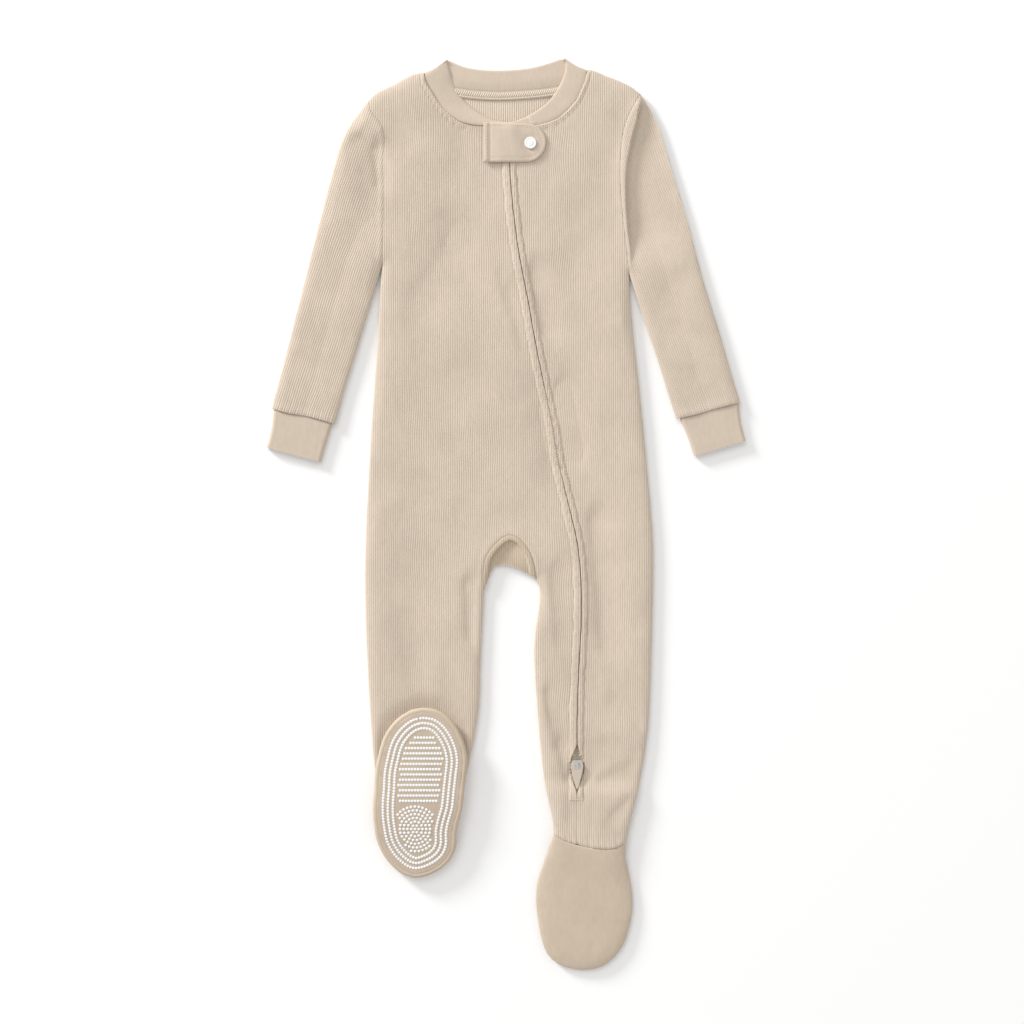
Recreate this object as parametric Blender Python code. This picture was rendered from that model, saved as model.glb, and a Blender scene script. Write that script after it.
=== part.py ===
"""A baby's footed sleepsuit in fine rib knit, laid flat on its back with its zip closed.

Lengths are millimetres, turned into metres where a mesh is made. The suit lies on the plane z = 0
with +Y towards the neck and +X towards the wearer's left, and the origin lies under the middle of
its outline. The wearer's right foot is folded up over the shin, its sole facing up.

Each seam is one curve, shared by the pieces that it joins, and each piece stops half a seam gap
short of it. The height of the cloth above any point follows from how far the point lies from the
edges where front and back meet, with the folds added.
"""

import math

import bmesh
import bpy
import numpy as np
from mathutils import Vector
from mathutils.geometry import delaunay_2d_cdt

MM = 0.001

# Cloth
CLOTH = 1.3                 # thickness of the back's one layer of rib knit
FRONT_CLOTH = 2.0           # thickness of the fronts between folds, without the ribs
DEEPEST_FOLD = 0.8          # the folds are pressed at most this far into the fronts
RIB_PITCH = 1.76            # from one rib to the next
RIB_HEIGHT = 0.3            # the ribs stand this far out of the cloth
SEAM_GAP = 0.3              # between two pieces at a seam, and between two layers
BAND_CLOTH = 2.4            # neckband, folded double
CUFF_CLOTH = 2.0            # cuff, folded double
FLAP_CLOTH = 2.4            # zip flap, sewn double
TAPE_CLOTH = 1.0            # tape over the back neck seam
SOLE_CLOTH = 1.5            # sole jersey with its grip print

# Height of the suit as it lies
SIDE_SEAM = 3.2             # height of the side seams, where front and back meet
FRONT_RISE = 2.9            # from the side seam to the front's outer face
EDGE_STEP = 0.5             # height of the front's edge over the side seam
EDGE_ROUND = 9.0            # the front and back bend round to the seam over this width
SAG = 1.2                   # the front sinks this much towards the back inside the puffed edge
SAG_WIDTH = (12.0, 46.0)    # from the edge: where the sag starts and where it is complete
ROOM = 3.9                  # most room left between front and back
HEEL_LIFT = 1.9             # the left ankle lies this high over its own heel and sole
HEEL_LIFT_SPAN = (-212.0, -226.0)

# Zip
ZIP_WELT = {"right": 6.0, "left": 5.0}      # stitched edge of each front beside the zip
WELT_RISE = 0.7
ZIP_TAPE_HALF = 10.0
ZIP_TAPE_CLOTH = 1.0
ZIP_TAPE_SPAN = (306.0, -232.0)
SLIDER_AT = (56.8, -203.0)
SLIDER_SIZE = {"width": 9.4, "length": 10.0, "height": 2.4}
BRIDGE = {"width": 1.8, "length": 5.6, "height": 2.4, "thickness": 0.7}
PULL_AT_Y = -201.0          # the pull's hinge axis
PULL = {"width": 10.0, "length": 21.5, "thickness": 1.1, "eye_width": 3.4, "eye_length": 4.4,
        "bar": 1.1}

# Seams and edges in plan, each from the neck or the shoulder downwards
SHOULDER_RIGHT = [(-65.6, 352.2), (-74.5, 350.6), (-89.7, 342.5), (-105.0, 334.8), (-110.1, 330.0)]
SLEEVE_RIGHT_OUTER = [
    (-110.1, 330.0), (-118.2, 319.0), (-125.4, 308.8), (-131.5, 296.6), (-135.6, 283.3),
    (-145.8, 245.5), (-161.4, 184.4), (-179.2, 114.3), (-187.6, 83.0)]
SLEEVE_RIGHT_INNER = [
    (-99.2, 198.0), (-105.3, 178.0), (-113.0, 152.6), (-121.8, 123.2), (-129.6, 98.0), (-137.0, 70.4)]
ARMHOLE_RIGHT = [
    (-110.1, 330.0), (-108.0, 321.0), (-103.0, 314.9), (-98.9, 309.0), (-97.3, 300.6),
    (-98.4, 284.0), (-97.9, 258.0), (-98.3, 226.0), (-99.2, 198.0)]
CUFF_SEAM_RIGHT = [(-187.6, 83.0), (-173.0, 79.0), (-160.0, 77.0), (-147.0, 73.6), (-137.0, 70.4)]
CUFF_RIGHT_OUTER = [(-186.2, 82.0), (-187.4, 70.0), (-189.0, 62.0), (-192.0, 52.0)]
CUFF_RIGHT_INNER = [(-139.5, 70.6), (-143.0, 58.4), (-145.6, 50.8), (-148.2, 40.2)]
SIDE_RIGHT = [
    (-99.2, 198.0), (-100.8, 174.0), (-102.0, 145.0), (-104.0, 116.0), (-106.5, 84.0),
    (-109.5, 34.0), (-111.5, -4.0), (-112.8, -46.0), (-111.8, -95.0), (-109.0, -152.0),
    (-106.0, -195.0), (-102.5, -230.0), (-98.5, -256.0)]
ANKLE_RIGHT = [(-98.5, -256.0), (-84.0, -257.4), (-70.0, -258.0), (-56.0, -257.4), (-41.5, -256.0)]
INSEAM_RIGHT = [
    (-17.6, -62.0), (-18.6, -78.0), (-19.6, -100.0), (-20.8, -124.0), (-21.6, -152.0),
    (-25.6, -181.0), (-30.5, -205.0), (-36.0, -232.0), (-41.5, -256.0)]
CROTCH_EDGE = [
    (-17.6, -62.0), (-15.6, -57.0), (-13.2, -50.0), (-9.6, -43.0), (-2.4, -41.6), (5.6, -43.6),
    (13.6, -46.8), (19.2, -49.6), (24.2, -53.0)]
CROTCH_SEAM = [
    (-17.6, -62.0), (-18.4, -54.0), (-17.8, -45.0), (-15.8, -35.4), (-9.0, -25.8), (2.4, -17.8),
    (11.6, -21.6), (15.8, -26.4), (19.4, -32.4), (21.8, -39.0), (24.2, -53.0)]
INSEAM_LEFT = [
    (24.2, -53.0), (27.0, -61.0), (26.4, -76.0), (23.6, -95.0), (22.6, -108.0), (23.6, -135.0),
    (25.6, -162.0), (28.0, -191.0), (30.4, -212.0), (33.8, -230.0), (37.4, -247.0), (38.1, -256.4)]
SIDE_LEFT = [
    (98.4, 191.6), (99.1, 174.0), (101.4, 145.0), (104.6, 116.4), (107.7, 87.6), (110.6, 58.8),
    (113.2, 30.0), (115.8, 1.0), (117.5, -25.0), (117.6, -55.0), (116.8, -90.0), (115.2, -143.0),
    (113.6, -172.0), (111.2, -191.0), (108.0, -210.0), (104.0, -229.0), (99.2, -248.0),
    (95.8, -264.0)]
ANKLE_LEFT = [
    (38.1, -256.4), (45.5, -261.7), (54.4, -264.8), (66.2, -267.6), (78.1, -268.8), (88.4, -268.0),
    (95.8, -264.0)]
SHOULDER_LEFT = [(65.0, 354.2), (68.5, 354.0), (79.0, 349.6), (90.2, 345.5), (100.3, 340.4), (107.5, 334.8)]
SLEEVE_LEFT_OUTER = [
    (107.5, 334.8), (114.6, 324.0), (120.7, 311.8), (125.8, 296.6), (132.0, 276.2), (145.3, 232.4),
    (157.6, 186.0), (170.4, 145.2), (181.6, 106.8), (187.4, 87.6)]
SLEEVE_LEFT_INNER = [
    (98.4, 191.6), (104.0, 174.0), (113.6, 145.2), (120.8, 124.5), (128.6, 99.0), (136.4, 74.8)]
ARMHOLE_LEFT = [
    (107.5, 334.8), (102.4, 326.2), (97.3, 315.9), (94.2, 306.8), (92.4, 294.0), (91.2, 272.0),
    (92.2, 252.0), (94.4, 228.0), (96.8, 208.0), (98.4, 191.6)]
CUFF_SEAM_LEFT = [(187.4, 87.6), (176.2, 85.0), (165.0, 82.0), (153.8, 78.6), (136.4, 74.8)]
CUFF_LEFT_OUTER = [(186.4, 87.4), (187.4, 75.3), (189.6, 65.2), (191.9, 57.2)]
CUFF_LEFT_INNER = [(139.0, 75.4), (143.7, 65.2), (147.0, 56.4), (150.4, 45.2)]
# The left sleeve's cap is tucked: its cloth runs out from the seam to this edge, then drops
SLEEVE_TUCK = [(108.3, 333.0), (103.6, 312.0), (99.6, 296.0), (96.6, 283.3), (95.2, 268.0), (95.6, 248.0),
               (97.0, 227.0), (99.2, 208.0), (99.4, 194.0)]
TUCK_DROP = 2.4
TUCK_WIDTH = 17.0

# Zip line from the neck to the ankle, and half the width of the gap left for the pull tab
ZIP = [
    (1.6, 312.8), (2.8, 279.0), (4.8, 252.4), (10.4, 207.6), (17.6, 170.0), (23.2, 138.0),
    (29.6, 106.0), (36.4, 74.0), (41.8, 42.0), (49.2, 10.0), (57.4, -26.8), (60.2, -60.0),
    (60.3, -85.0), (58.9, -113.0), (57.8, -136.0), (57.0, -166.0), (56.8, -190.0), (56.8, -267.0)]
ZIP_GAP = [(-186.0, 0.0), (-192.0, 2.2), (-198.0, 5.4), (-203.0, 6.4), (-209.0, 6.0), (-217.0, 4.0),
           (-224.0, 1.4), (-229.0, 0.0)]

# Neck: the band's seam to the body and its free folded edge, in front from the neck point to the zip
NECK_SEAM_RIGHT = [
    (-65.6, 352.2), (-64.4, 344.5), (-59.6, 336.8), (-54.0, 328.2), (-49.4, 322.6), (-43.3, 317.4),
    (-36.2, 312.8), (-28.0, 310.6), (-14.0, 309.6), (1.6, 309.2)]
NECK_FREE_RIGHT = [
    (-47.4, 363.3), (-45.6, 355.0), (-43.0, 347.0), (-40.2, 339.8), (-37.0, 334.0), (-31.8, 328.4),
    (-25.4, 323.0), (-17.8, 317.6), (-9.4, 313.8), (1.6, 312.6)]
NECK_SEAM_LEFT = [
    (65.0, 354.2), (62.9, 344.5), (59.8, 337.4), (55.8, 329.2), (49.7, 322.6), (39.9, 314.9),
    (27.2, 310.6), (14.0, 309.4), (1.6, 309.2)]
NECK_FREE_LEFT = [
    (46.6, 364.4), (48.0, 360.0), (47.4, 353.0), (44.6, 345.5), (39.6, 336.6), (32.6, 327.6),
    (25.8, 322.6), (15.0, 316.2), (7.0, 313.2), (1.6, 312.6)]
BACK_NECK_SEAM = [
    (-65.6, 352.2), (-53.0, 345.4), (-39.7, 340.4), (-24.1, 338.2), (-5.7, 337.4), (12.6, 338.2),
    (31.0, 339.9), (43.0, 342.0), (54.0, 346.6), (65.0, 354.2)]
BACK_NECK_FREE = [
    (-47.4, 363.3), (-42.4, 360.6), (-33.3, 357.0), (-24.1, 355.2), (-10.4, 354.2), (3.5, 354.5),
    (17.3, 355.9), (26.4, 357.8), (35.6, 360.6), (46.6, 364.4)]
TURN_CLEAR = 2.3            # the band's folds at the shoulders keep this far off the seams
NECK_TAPE_SPAN = (-46.0, 47.0)
NECK_TAPE_DROP = 6.8        # how far the tape reaches below the back neck seam

# Flap over the top of the zip
FLAP_BOX = {"left": -18.0, "right": 32.2, "top": 312.2, "bottom": 280.2}
FLAP_CORNER = 1.2
SNAP_AT = (19.6, 296.1)
SNAP_RADIUS = 4.7
SNAP_HEIGHT = 1.7

# Feet
FOOT_LEFT = [
    (38.1, -256.4), (35.1, -266.8), (29.2, -283.2), (24.9, -298.0), (24.0, -310.0), (25.4, -324.4),
    (28.4, -340.9), (32.6, -352.6), (41.0, -360.9), (54.4, -365.4), (66.2, -366.0), (77.0, -363.4),
    (87.0, -355.6), (94.3, -345.0), (98.8, -330.5), (101.2, -314.2), (100.2, -300.0),
    (97.3, -285.0), (95.3, -274.0), (95.8, -264.0)]
SOLE_LEFT_HEEL = [(95.6, -266.0), (91.0, -246.0), (83.0, -233.0), (67.0, -227.0), (52.0, -233.0),
                  (43.0, -246.0), (38.4, -258.0)]
FOOT_RIGHT = [
    (-67.0, -155.6), (-56.2, -157.0), (-47.7, -161.6), (-40.2, -169.8), (-34.8, -179.6),
    (-31.6, -189.4), (-30.6, -198.5), (-31.8, -210.0), (-33.4, -224.0), (-35.0, -238.0),
    (-38.4, -250.0), (-39.6, -257.0), (-39.4, -264.0), (-40.8, -271.0), (-44.6, -278.4),
    (-50.6, -284.2), (-58.4, -288.8), (-67.0, -291.9), (-73.4, -292.6), (-81.9, -289.8),
    (-90.5, -283.4), (-98.0, -274.4), (-102.4, -265.2), (-104.8, -254.0), (-106.1, -243.0),
    (-106.2, -232.0), (-105.2, -219.1), (-104.5, -206.3), (-101.9, -193.4), (-98.0, -180.0),
    (-91.8, -169.8), (-84.1, -162.3), (-76.6, -157.8)]
FOOT_STRIP = 3.4            # width of the upper's edge that shows round the folded foot's sole
FOOT_ROUND = 6.0
FOOT_TOE_TOP = 12.4         # height of the folded foot's sole at the toe
FOOT_HEEL_TOP = 8.6         # and at the heel, which lies on the surface
FOOT_STEP = (-259.0, -270.0)

# Folds of the body, legs and sleeves: a ridge or trough between two points in plan
FOLD_COLUMNS = ("from_x", "from_y", "to_x", "to_y", "half_width", "height")
FOLDS = [
    (-2.0, 186.0, 11.5, 128.0, 5.0, -0.9),
    (30.0, 184.0, 33.6, 158.0, 4.0, -0.7),
    (47.8, 93.0, 52.0, 69.0, 4.5, -0.9),
    (21.0, 158.0, 25.0, 142.0, 4.5, -0.5),
    (37.0, 82.0, 42.0, 60.0, 5.0, -0.6),
    (-40.0, 202.0, -30.0, 186.0, 9.0, -0.8),
    (-72.0, 210.0, -50.0, 190.0, 7.0, -0.5),
    (-40.0, 55.0, 20.0, 66.0, 8.0, -0.5),
    (-94.0, 14.0, -58.0, 36.0, 10.0, -0.5),
    (-14.0, -22.0, 2.4, -11.0, 5.0, 0.7),
    (2.4, -11.0, 16.0, -18.0, 5.0, 0.7),
    (-9.0, -35.0, 15.0, -37.0, 7.0, -1.2),
    (-31.4, -58.0, -29.6, -94.0, 4.0, -1.2),
    (-48.0, -114.0, -51.0, -150.0, 6.0, -0.4),
    (73.6, -34.0, 76.0, -102.0, 6.0, -1.3),
    (32.6, -54.0, 36.0, -96.0, 6.0, -0.9),
    (33.4, -150.0, 42.2, -185.0, 4.5, -1.1),
    (42.2, -185.0, 49.0, -207.0, 4.5, -1.1),
    (50.0, -212.0, 51.0, -246.0, 4.5, -0.9),
    (92.0, -152.0, 107.0, -170.0, 7.0, -0.7),
    (84.8, -208.0, 99.0, -194.0, 6.0, -0.9),
    (88.0, -239.0, 98.0, -229.0, 6.0, -0.8),
    (-116.0, 303.6, -104.0, 293.0, 4.0, -1.3),
    (-104.0, 293.0, -99.8, 276.0, 4.0, -1.3),
    (-113.0, 312.0, -102.0, 301.0, 4.5, 0.6),
    (-150.0, 150.0, -128.0, 142.0, 7.0, -0.5),
    (124.0, 128.0, 130.0, 90.0, 5.0, -0.5),
    (150.0, 190.0, 130.0, 176.0, 7.0, -0.5),
]

RIB_ROWS = [290, 230, 168, 106, 44, -22, -66, -128, -188, -238]
LIFT_ROWS = [-212, -219, -226]
EDGE_LINES = (3.0, 9.0)     # lines along the closed edges, for the bend there
CURVE_STEP = 18.0
RIM_STEP = 5.0              # longest piece of a panel's lower rim, measured across the suit
MERGE = 0.02                # points closer than this are one point

RIB_KNIT = ("rib_knit", (0.64, 0.53, 0.43), 0.92, 0.0)
JERSEY = ("jersey", (0.62, 0.52, 0.42), 0.9, 0.0)
SOLE_JERSEY = ("sole_jersey", (0.62, 0.52, 0.42), 0.85, 0.0)
ZIP_CLOTH = ("zip_tape", (0.6, 0.5, 0.4), 0.8, 0.0)
STEEL = ("steel", (0.72, 0.72, 0.72), 0.28, 1.0)
PAINTED_METAL = ("painted_metal", (0.6, 0.5, 0.41), 0.4, 0.0)
WHITE_PLASTIC = ("white_plastic", (0.9, 0.9, 0.9), 0.35, 0.0)


MIDDLE = (-0.05, -0.95)     # middle of the suit's outline, which becomes the origin


# Curves in plan

def smooth(points, step=CURVE_STEP):
    """Points about a step apart on a smooth curve through the given ones."""
    knots = np.array(points, dtype=float)
    lengths = np.linalg.norm(np.diff(knots, axis=0), axis=1)
    at = np.concatenate([[0.0], np.cumsum(lengths)])
    slopes = np.gradient(knots, at, axis=0)
    curve = []
    for i, length in enumerate(lengths):
        count = max(1, round(length / step))
        for t in np.arange(count) / count:
            curve.append(
                (2 * t**3 - 3 * t**2 + 1) * knots[i] + (t**3 - 2 * t**2 + t) * length * slopes[i]
                + (3 * t**2 - 2 * t**3) * knots[i + 1] + (t**3 - t**2) * length * slopes[i + 1])
    curve.append(knots[-1])
    return np.array(curve)


def join(*curves):
    """One closed outline from curves that follow each other, each given in its running direction."""
    points = []
    for curve in curves:
        for point in curve:
            if not points or np.linalg.norm(point - points[-1]) > 0.05:
                points.append(point)
    if np.linalg.norm(points[0] - points[-1]) <= 0.05:
        points.pop()
    return np.array(points)


def inset(outline, distance=SEAM_GAP / 2):
    """The outline moved inwards by a distance, square to its sides."""
    before = outline - np.roll(outline, 1, axis=0)
    after = np.roll(outline, -1, axis=0) - outline
    before /= np.linalg.norm(before, axis=1)[:, None]
    after /= np.linalg.norm(after, axis=1)[:, None]
    normals = np.stack([-(before + after)[:, 1], (before + after)[:, 0]], axis=1)
    normals /= np.linalg.norm(normals, axis=1)[:, None]
    turn = np.clip(np.abs((normals * np.stack([-after[:, 1], after[:, 0]], axis=1)).sum(axis=1)), 0.4, 1.0)
    x, y = outline[:, 0], outline[:, 1]
    area = np.sum(x * np.roll(y, -1) - np.roll(x, -1) * y) / 2
    return outline + normals * (math.copysign(distance, area) / turn)[:, None]


def along(curve, fraction):
    """The point at a fraction of a curve's length."""
    at = np.concatenate([[0.0], np.cumsum(np.linalg.norm(np.diff(curve, axis=0), axis=1))])
    return np.array([np.interp(fraction * at[-1], at, curve[:, axis]) for axis in (0, 1)])


def distance_to(curve, points):
    """Distance of each point from a curve."""
    start, end = curve[:-1], curve[1:]
    side = end - start
    t = ((points[:, None] - start) * side).sum(axis=2) / (side**2).sum(axis=1)
    nearest = start + np.clip(t, 0, 1)[..., None] * side
    return np.linalg.norm(points[:, None] - nearest, axis=2).min(axis=1)


def ease(value):
    """0 to 1 as the value goes from 0 to 1, with a soft start and end."""
    t = np.clip(value, 0.0, 1.0)
    return t * t * (3 - 2 * t)


def quarter(value):
    """Height of a quarter circle, 0 at its rim and 1 from one radius inwards."""
    return np.sqrt(1 - (1 - np.clip(value, 0.0, 1.0))**2)


SEAMS = {name: smooth(points) for name, points in {
    "shoulder_right": SHOULDER_RIGHT, "outer_right": SLEEVE_RIGHT_OUTER,
    "inner_right": SLEEVE_RIGHT_INNER, "armhole_right": ARMHOLE_RIGHT, "side_right": SIDE_RIGHT,
    "inseam_right": INSEAM_RIGHT, "crotch_edge": CROTCH_EDGE, "crotch_seam": CROTCH_SEAM,
    "inseam_left": INSEAM_LEFT, "side_left": SIDE_LEFT, "shoulder_left": SHOULDER_LEFT,
    "outer_left": SLEEVE_LEFT_OUTER, "inner_left": SLEEVE_LEFT_INNER, "armhole_left": ARMHOLE_LEFT,
    "ankle_right": ANKLE_RIGHT, "ankle_left": ANKLE_LEFT, "zip": ZIP,
    "neck_right": NECK_SEAM_RIGHT, "neck_left": NECK_SEAM_LEFT, "neck_back": BACK_NECK_SEAM,
    "cuff_right": CUFF_SEAM_RIGHT, "cuff_left": CUFF_SEAM_LEFT}.items()}
CLOSED_EDGES = ("shoulder_right", "outer_right", "inner_right", "side_right", "inseam_right",
                "crotch_edge", "inseam_left", "side_left", "shoulder_left", "outer_left", "inner_left")


# Height of the cloth

def zip_x(y):
    """Where the zip line lies across the suit at each height."""
    line = SEAMS["zip"][::-1]
    return np.interp(y, line[:, 1], line[:, 0])


def folds(points):
    """Height that the folds add at each point."""
    total = np.zeros(len(points))
    for row in FOLDS:
        fold = dict(zip(FOLD_COLUMNS, row))
        line = np.array([(fold["from_x"], fold["from_y"]), (fold["to_x"], fold["to_y"])])
        away = distance_to(line, points) / fold["half_width"]
        total += fold["height"] * np.exp(-away**2)
    return total


def tuck(points):
    """Drop of the left sleeve beyond the edge of its tuck."""
    edge = np.array(SLEEVE_TUCK)[::-1]
    beyond = points[:, 0] - np.interp(points[:, 1], edge[:, 1], edge[:, 0])
    inside = (points[:, 1] > edge[0, 1]) & (points[:, 1] < edge[-1, 1])
    ends = ease((points[:, 1] - edge[0, 1]) / 20) * ease((edge[-1, 1] - points[:, 1]) / 20)
    drop = ease(beyond / 1.6) * np.exp(-(np.clip(beyond, 0, None) / TUCK_WIDTH)**2)
    return np.where(inside, -TUCK_DROP * drop * ends, 0.0)


def welt(points):
    """Rise of the doubled edges beside the zip."""
    away = points[:, 0] - zip_x(points[:, 1])
    width = np.where(away < 0, ZIP_WELT["right"], ZIP_WELT["left"])
    span = (points[:, 1] < ZIP[0][1]) & (points[:, 1] > ZIP_TAPE_SPAN[1])
    return np.where(span, WELT_RISE * np.clip(1 - np.abs(away) / width, 0, 1), 0.0)


def lift(points):
    """How far the left ankle lies up on the heel under it."""
    start, end = HEEL_LIFT_SPAN
    return np.where(points[:, 0] > 20, HEEL_LIFT * ease((start - points[:, 1]) / (start - end)), 0.0)


def edge_distance(points):
    """Distance of each point from the nearest edge where front and back meet."""
    return np.min([distance_to(SEAMS[name], points) for name in CLOSED_EDGES], axis=0)


def front_outer(points):
    """Height of the front's outer face, without the ribs."""
    away = edge_distance(points)
    start, end = SAG_WIDTH
    rise = EDGE_STEP + (FRONT_RISE - EDGE_STEP) * quarter(away / EDGE_ROUND)
    sag = SAG * ease((away - start) / (end - start))
    pressed = np.clip(folds(points) + tuck(points), -DEEPEST_FOLD, None) * ease(away / EDGE_ROUND)
    return SIDE_SEAM + lift(points) + rise - sag + pressed + welt(points)


def front_inner(points):
    """Height of the front's inner face, plain and clear of the back."""
    away = edge_distance(points)
    start, end = SAG_WIDTH
    seam = SIDE_SEAM + SEAM_GAP / 2
    bend = quarter((away - CLOTH) / (EDGE_ROUND - CLOTH))
    level = SIDE_SEAM + FRONT_RISE - FRONT_CLOTH - SAG * ease((away - start) / (end - start))
    return seam + (level - seam) * bend + lift(points)


def back_inner(points):
    """Height of the back's inner face."""
    away = edge_distance(points)
    seam = SIDE_SEAM - SEAM_GAP / 2
    bend = quarter((away - CLOTH) / (EDGE_ROUND - CLOTH))
    return seam + (CLOTH - seam) * bend + lift(points)


def back_outer(points):
    """Height of the back's outer face, flat on the surface inside the bent edge."""
    bend = quarter(edge_distance(points) / EDGE_ROUND)
    edge = SIDE_SEAM - EDGE_STEP
    return edge * (1 - bend) + lift(points)


def ribs(across):
    """Height of the ribs at each distance across them: crests a pitch apart."""
    return RIB_HEIGHT * (1 - np.abs(2 * np.mod(across / RIB_PITCH, 1.0) - 1))


# Meshes

def patch(outline, lines):
    """Triangles that fill an outline and follow the lines across it: points, triangles, border."""
    x, y = outline[:, 0], outline[:, 1]
    if np.sum(x * np.roll(y, -1) - np.roll(x, -1) * y) < 0:
        outline = outline[::-1]
    points = [Vector(point) for point in outline]
    face = list(range(len(points)))
    edges = []
    for line in lines:
        first = len(points)
        points += [Vector(point) for point in line]
        edges += [(first + i, first + i + 1) for i in range(len(line) - 1)]
    found, _, triangles, _, _, faces = delaunay_2d_cdt(points, edges, [face], 0, MERGE)
    kept = [tuple(triangle) for triangle, origin in zip(triangles, faces) if origin]
    used = sorted({i for triangle in kept for i in triangle})
    number = {old: new for new, old in enumerate(used)}
    kept = [tuple(number[i] for i in triangle) for triangle in kept]
    sides = {(t[i], t[(i + 1) % 3]) for t in kept for i in range(3)}
    following = {a: b for a, b in sides if (b, a) not in sides}
    plan = np.array([found[i][:2] for i in used])
    start = min(following, key=lambda i: np.linalg.norm(plan[i] - outline[0]))
    border = [start]
    while following[border[-1]] != start:
        border.append(following[border[-1]])
    return plan, kept, border


def stitch(first, second, at_first, at_second):
    """Triangles between two rows of vertices, paired by where each lies along its row."""
    faces = []
    i = j = 0
    while i < len(first) - 1 or j < len(second) - 1:
        to_first = abs(at_first[i + 1] - at_second[j]) if i < len(first) - 1 else math.inf
        to_second = abs(at_second[j + 1] - at_first[i]) if j < len(second) - 1 else math.inf
        if to_first <= to_second:
            faces.append((first[i], first[i + 1], second[j]))
            i += 1
        else:
            faces.append((first[i], second[j + 1], second[j]))
            j += 1
    return faces


def row_positions(points, row):
    """How far along its row each vertex lies, as a share of the row's length."""
    places = points[list(row)]
    steps = np.linalg.norm(np.diff(places, axis=0), axis=1)
    at = np.concatenate([[0.0], np.cumsum(steps)])
    return at / at[-1]


def material(kind):
    """The material of a kind, made once."""
    name, colour, roughness, metallic = kind
    made = bpy.data.materials.get(name)
    if made is None:
        made = bpy.data.materials.new(name)
        made.use_nodes = True
        shader = made.node_tree.nodes["Principled BSDF"]
        shader.inputs["Base Color"].default_value = (*colour, 1.0)
        shader.inputs["Roughness"].default_value = roughness
        shader.inputs["Metallic"].default_value = metallic
    return made


def body(name, points, faces, kind, origin=(0.0, 0.0, 0.0)):
    """A named object from points in millimetres, its origin at the given place."""
    shape = bmesh.new()
    corners = [shape.verts.new((Vector(point) - Vector(origin)) * MM) for point in points]
    for face in faces:
        if len(set(face)) > 2:
            shape.faces.new([corners[i] for i in face])
    bmesh.ops.recalc_face_normals(shape, faces=shape.faces)
    mesh = bpy.data.meshes.new(name)
    shape.to_mesh(mesh)
    shape.free()
    mesh.shade_smooth()
    mesh.set_sharp_from_angle(angle=math.radians(35))
    made = bpy.data.objects.new(name, mesh)
    made.location = Vector(origin) * MM
    made.data.materials.append(material(kind))
    bpy.context.scene.collection.objects.link(made)
    return made


def panel(name, outline, top, bottom, kind, top_lines=(), bottom_lines=()):
    """One layer of cloth: an outline in plan between the heights of its upper and lower faces."""
    upper, upper_faces, upper_rim = patch(outline, top_lines)
    lower, lower_faces, lower_rim = patch(part_sides(outline), bottom_lines)
    upper_rim.append(upper_rim[0])
    lower_rim.append(lower_rim[0])
    points = np.vstack([
        np.column_stack([upper, top(upper)]),
        np.column_stack([lower, bottom(lower)])])
    shift = len(upper)
    sides = stitch(
        upper_rim, [shift + i for i in lower_rim],
        row_positions(upper, upper_rim), row_positions(lower, lower_rim))
    faces = upper_faces + [tuple(shift + i for i in face) for face in lower_faces] + sides
    return body(name, points, faces, kind)


def part_sides(outline):
    """The outline with its sides that run across the suit parted into short pieces."""
    points = []
    for start, end in zip(outline, np.roll(outline, -1, axis=0)):
        count = max(1, math.ceil(abs(end[0] - start[0]) / RIM_STEP))
        points += [start + (end - start) * k / count for k in range(count)]
    return np.array(points)


def columns(outline, spacing):
    """Upright lines across an outline, at whole multiples of the spacing."""
    low, high = outline[:, 0].min(), outline[:, 0].max()
    bottom, top = outline[:, 1].min() - 5, outline[:, 1].max() + 5
    first, last = math.ceil(low / spacing), math.floor(high / spacing)
    return [[(k * spacing, bottom), (k * spacing, top)] for k in range(first, last + 1)]


def edge_lines(outline, distances=EDGE_LINES):
    """Lines inside an outline, beside the edges where front and back meet."""
    closed = edge_distance(outline) < 0.3
    start = int(np.argmin(closed))
    lines = []
    for distance in distances:
        moved = inset(outline, distance)
        line = []
        for k in range(len(outline) + 1):
            i = (start + k) % len(outline)
            if closed[i]:
                line.append(moved[i])
            elif len(line) > 1:
                lines.append(line)
                line = []
            else:
                line = []
    return lines


def rows(outline, heights):
    """Level lines across an outline at the given heights."""
    left, right = outline[:, 0].min() - 5, outline[:, 0].max() + 5
    low, high = outline[:, 1].min(), outline[:, 1].max()
    return [[(left, y), (right, y)] for y in heights if low + 1 < y < high - 1]


def unite(first, second):
    """Join two overlapping bodies into the first."""
    join_bodies = first.modifiers.new("union", "BOOLEAN")
    join_bodies.operation = "UNION"
    join_bodies.solver = "EXACT"
    join_bodies.object = second
    second.hide_render = True
    second.display_type = "WIRE"


# Body panels

def zip_edge(side):
    """The zip-side edge of one front, from the neck to the ankle, parted round the pull tab."""
    line = SEAMS["zip"]
    stations = np.concatenate([line[line[:, 1] > ZIP_GAP[0][0], 1], [y for y, _ in ZIP_GAP], [ZIP[-1][1]]])
    half = np.interp(stations, [y for y, _ in ZIP_GAP][::-1], [width for _, width in ZIP_GAP][::-1])
    sign = {"right": -1, "left": 1}[side]
    return np.column_stack([zip_x(stations) + sign * half, stations])


def cut_at_zip(curve, side):
    """The part of a curve on one side of the zip, ending on the zip line."""
    sign = {"right": -1, "left": 1}[side]
    away = (curve[:, 0] - zip_x(curve[:, 1])) * sign
    kept = curve[away > 0.3]
    at_zip = curve[np.argmin(np.abs(away))]
    end = np.array([zip_x(at_zip[1]), at_zip[1]])
    near_start = np.linalg.norm(kept[0] - end) < np.linalg.norm(kept[-1] - end)
    return np.vstack([end, kept]) if near_start else np.vstack([kept, end])


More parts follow.
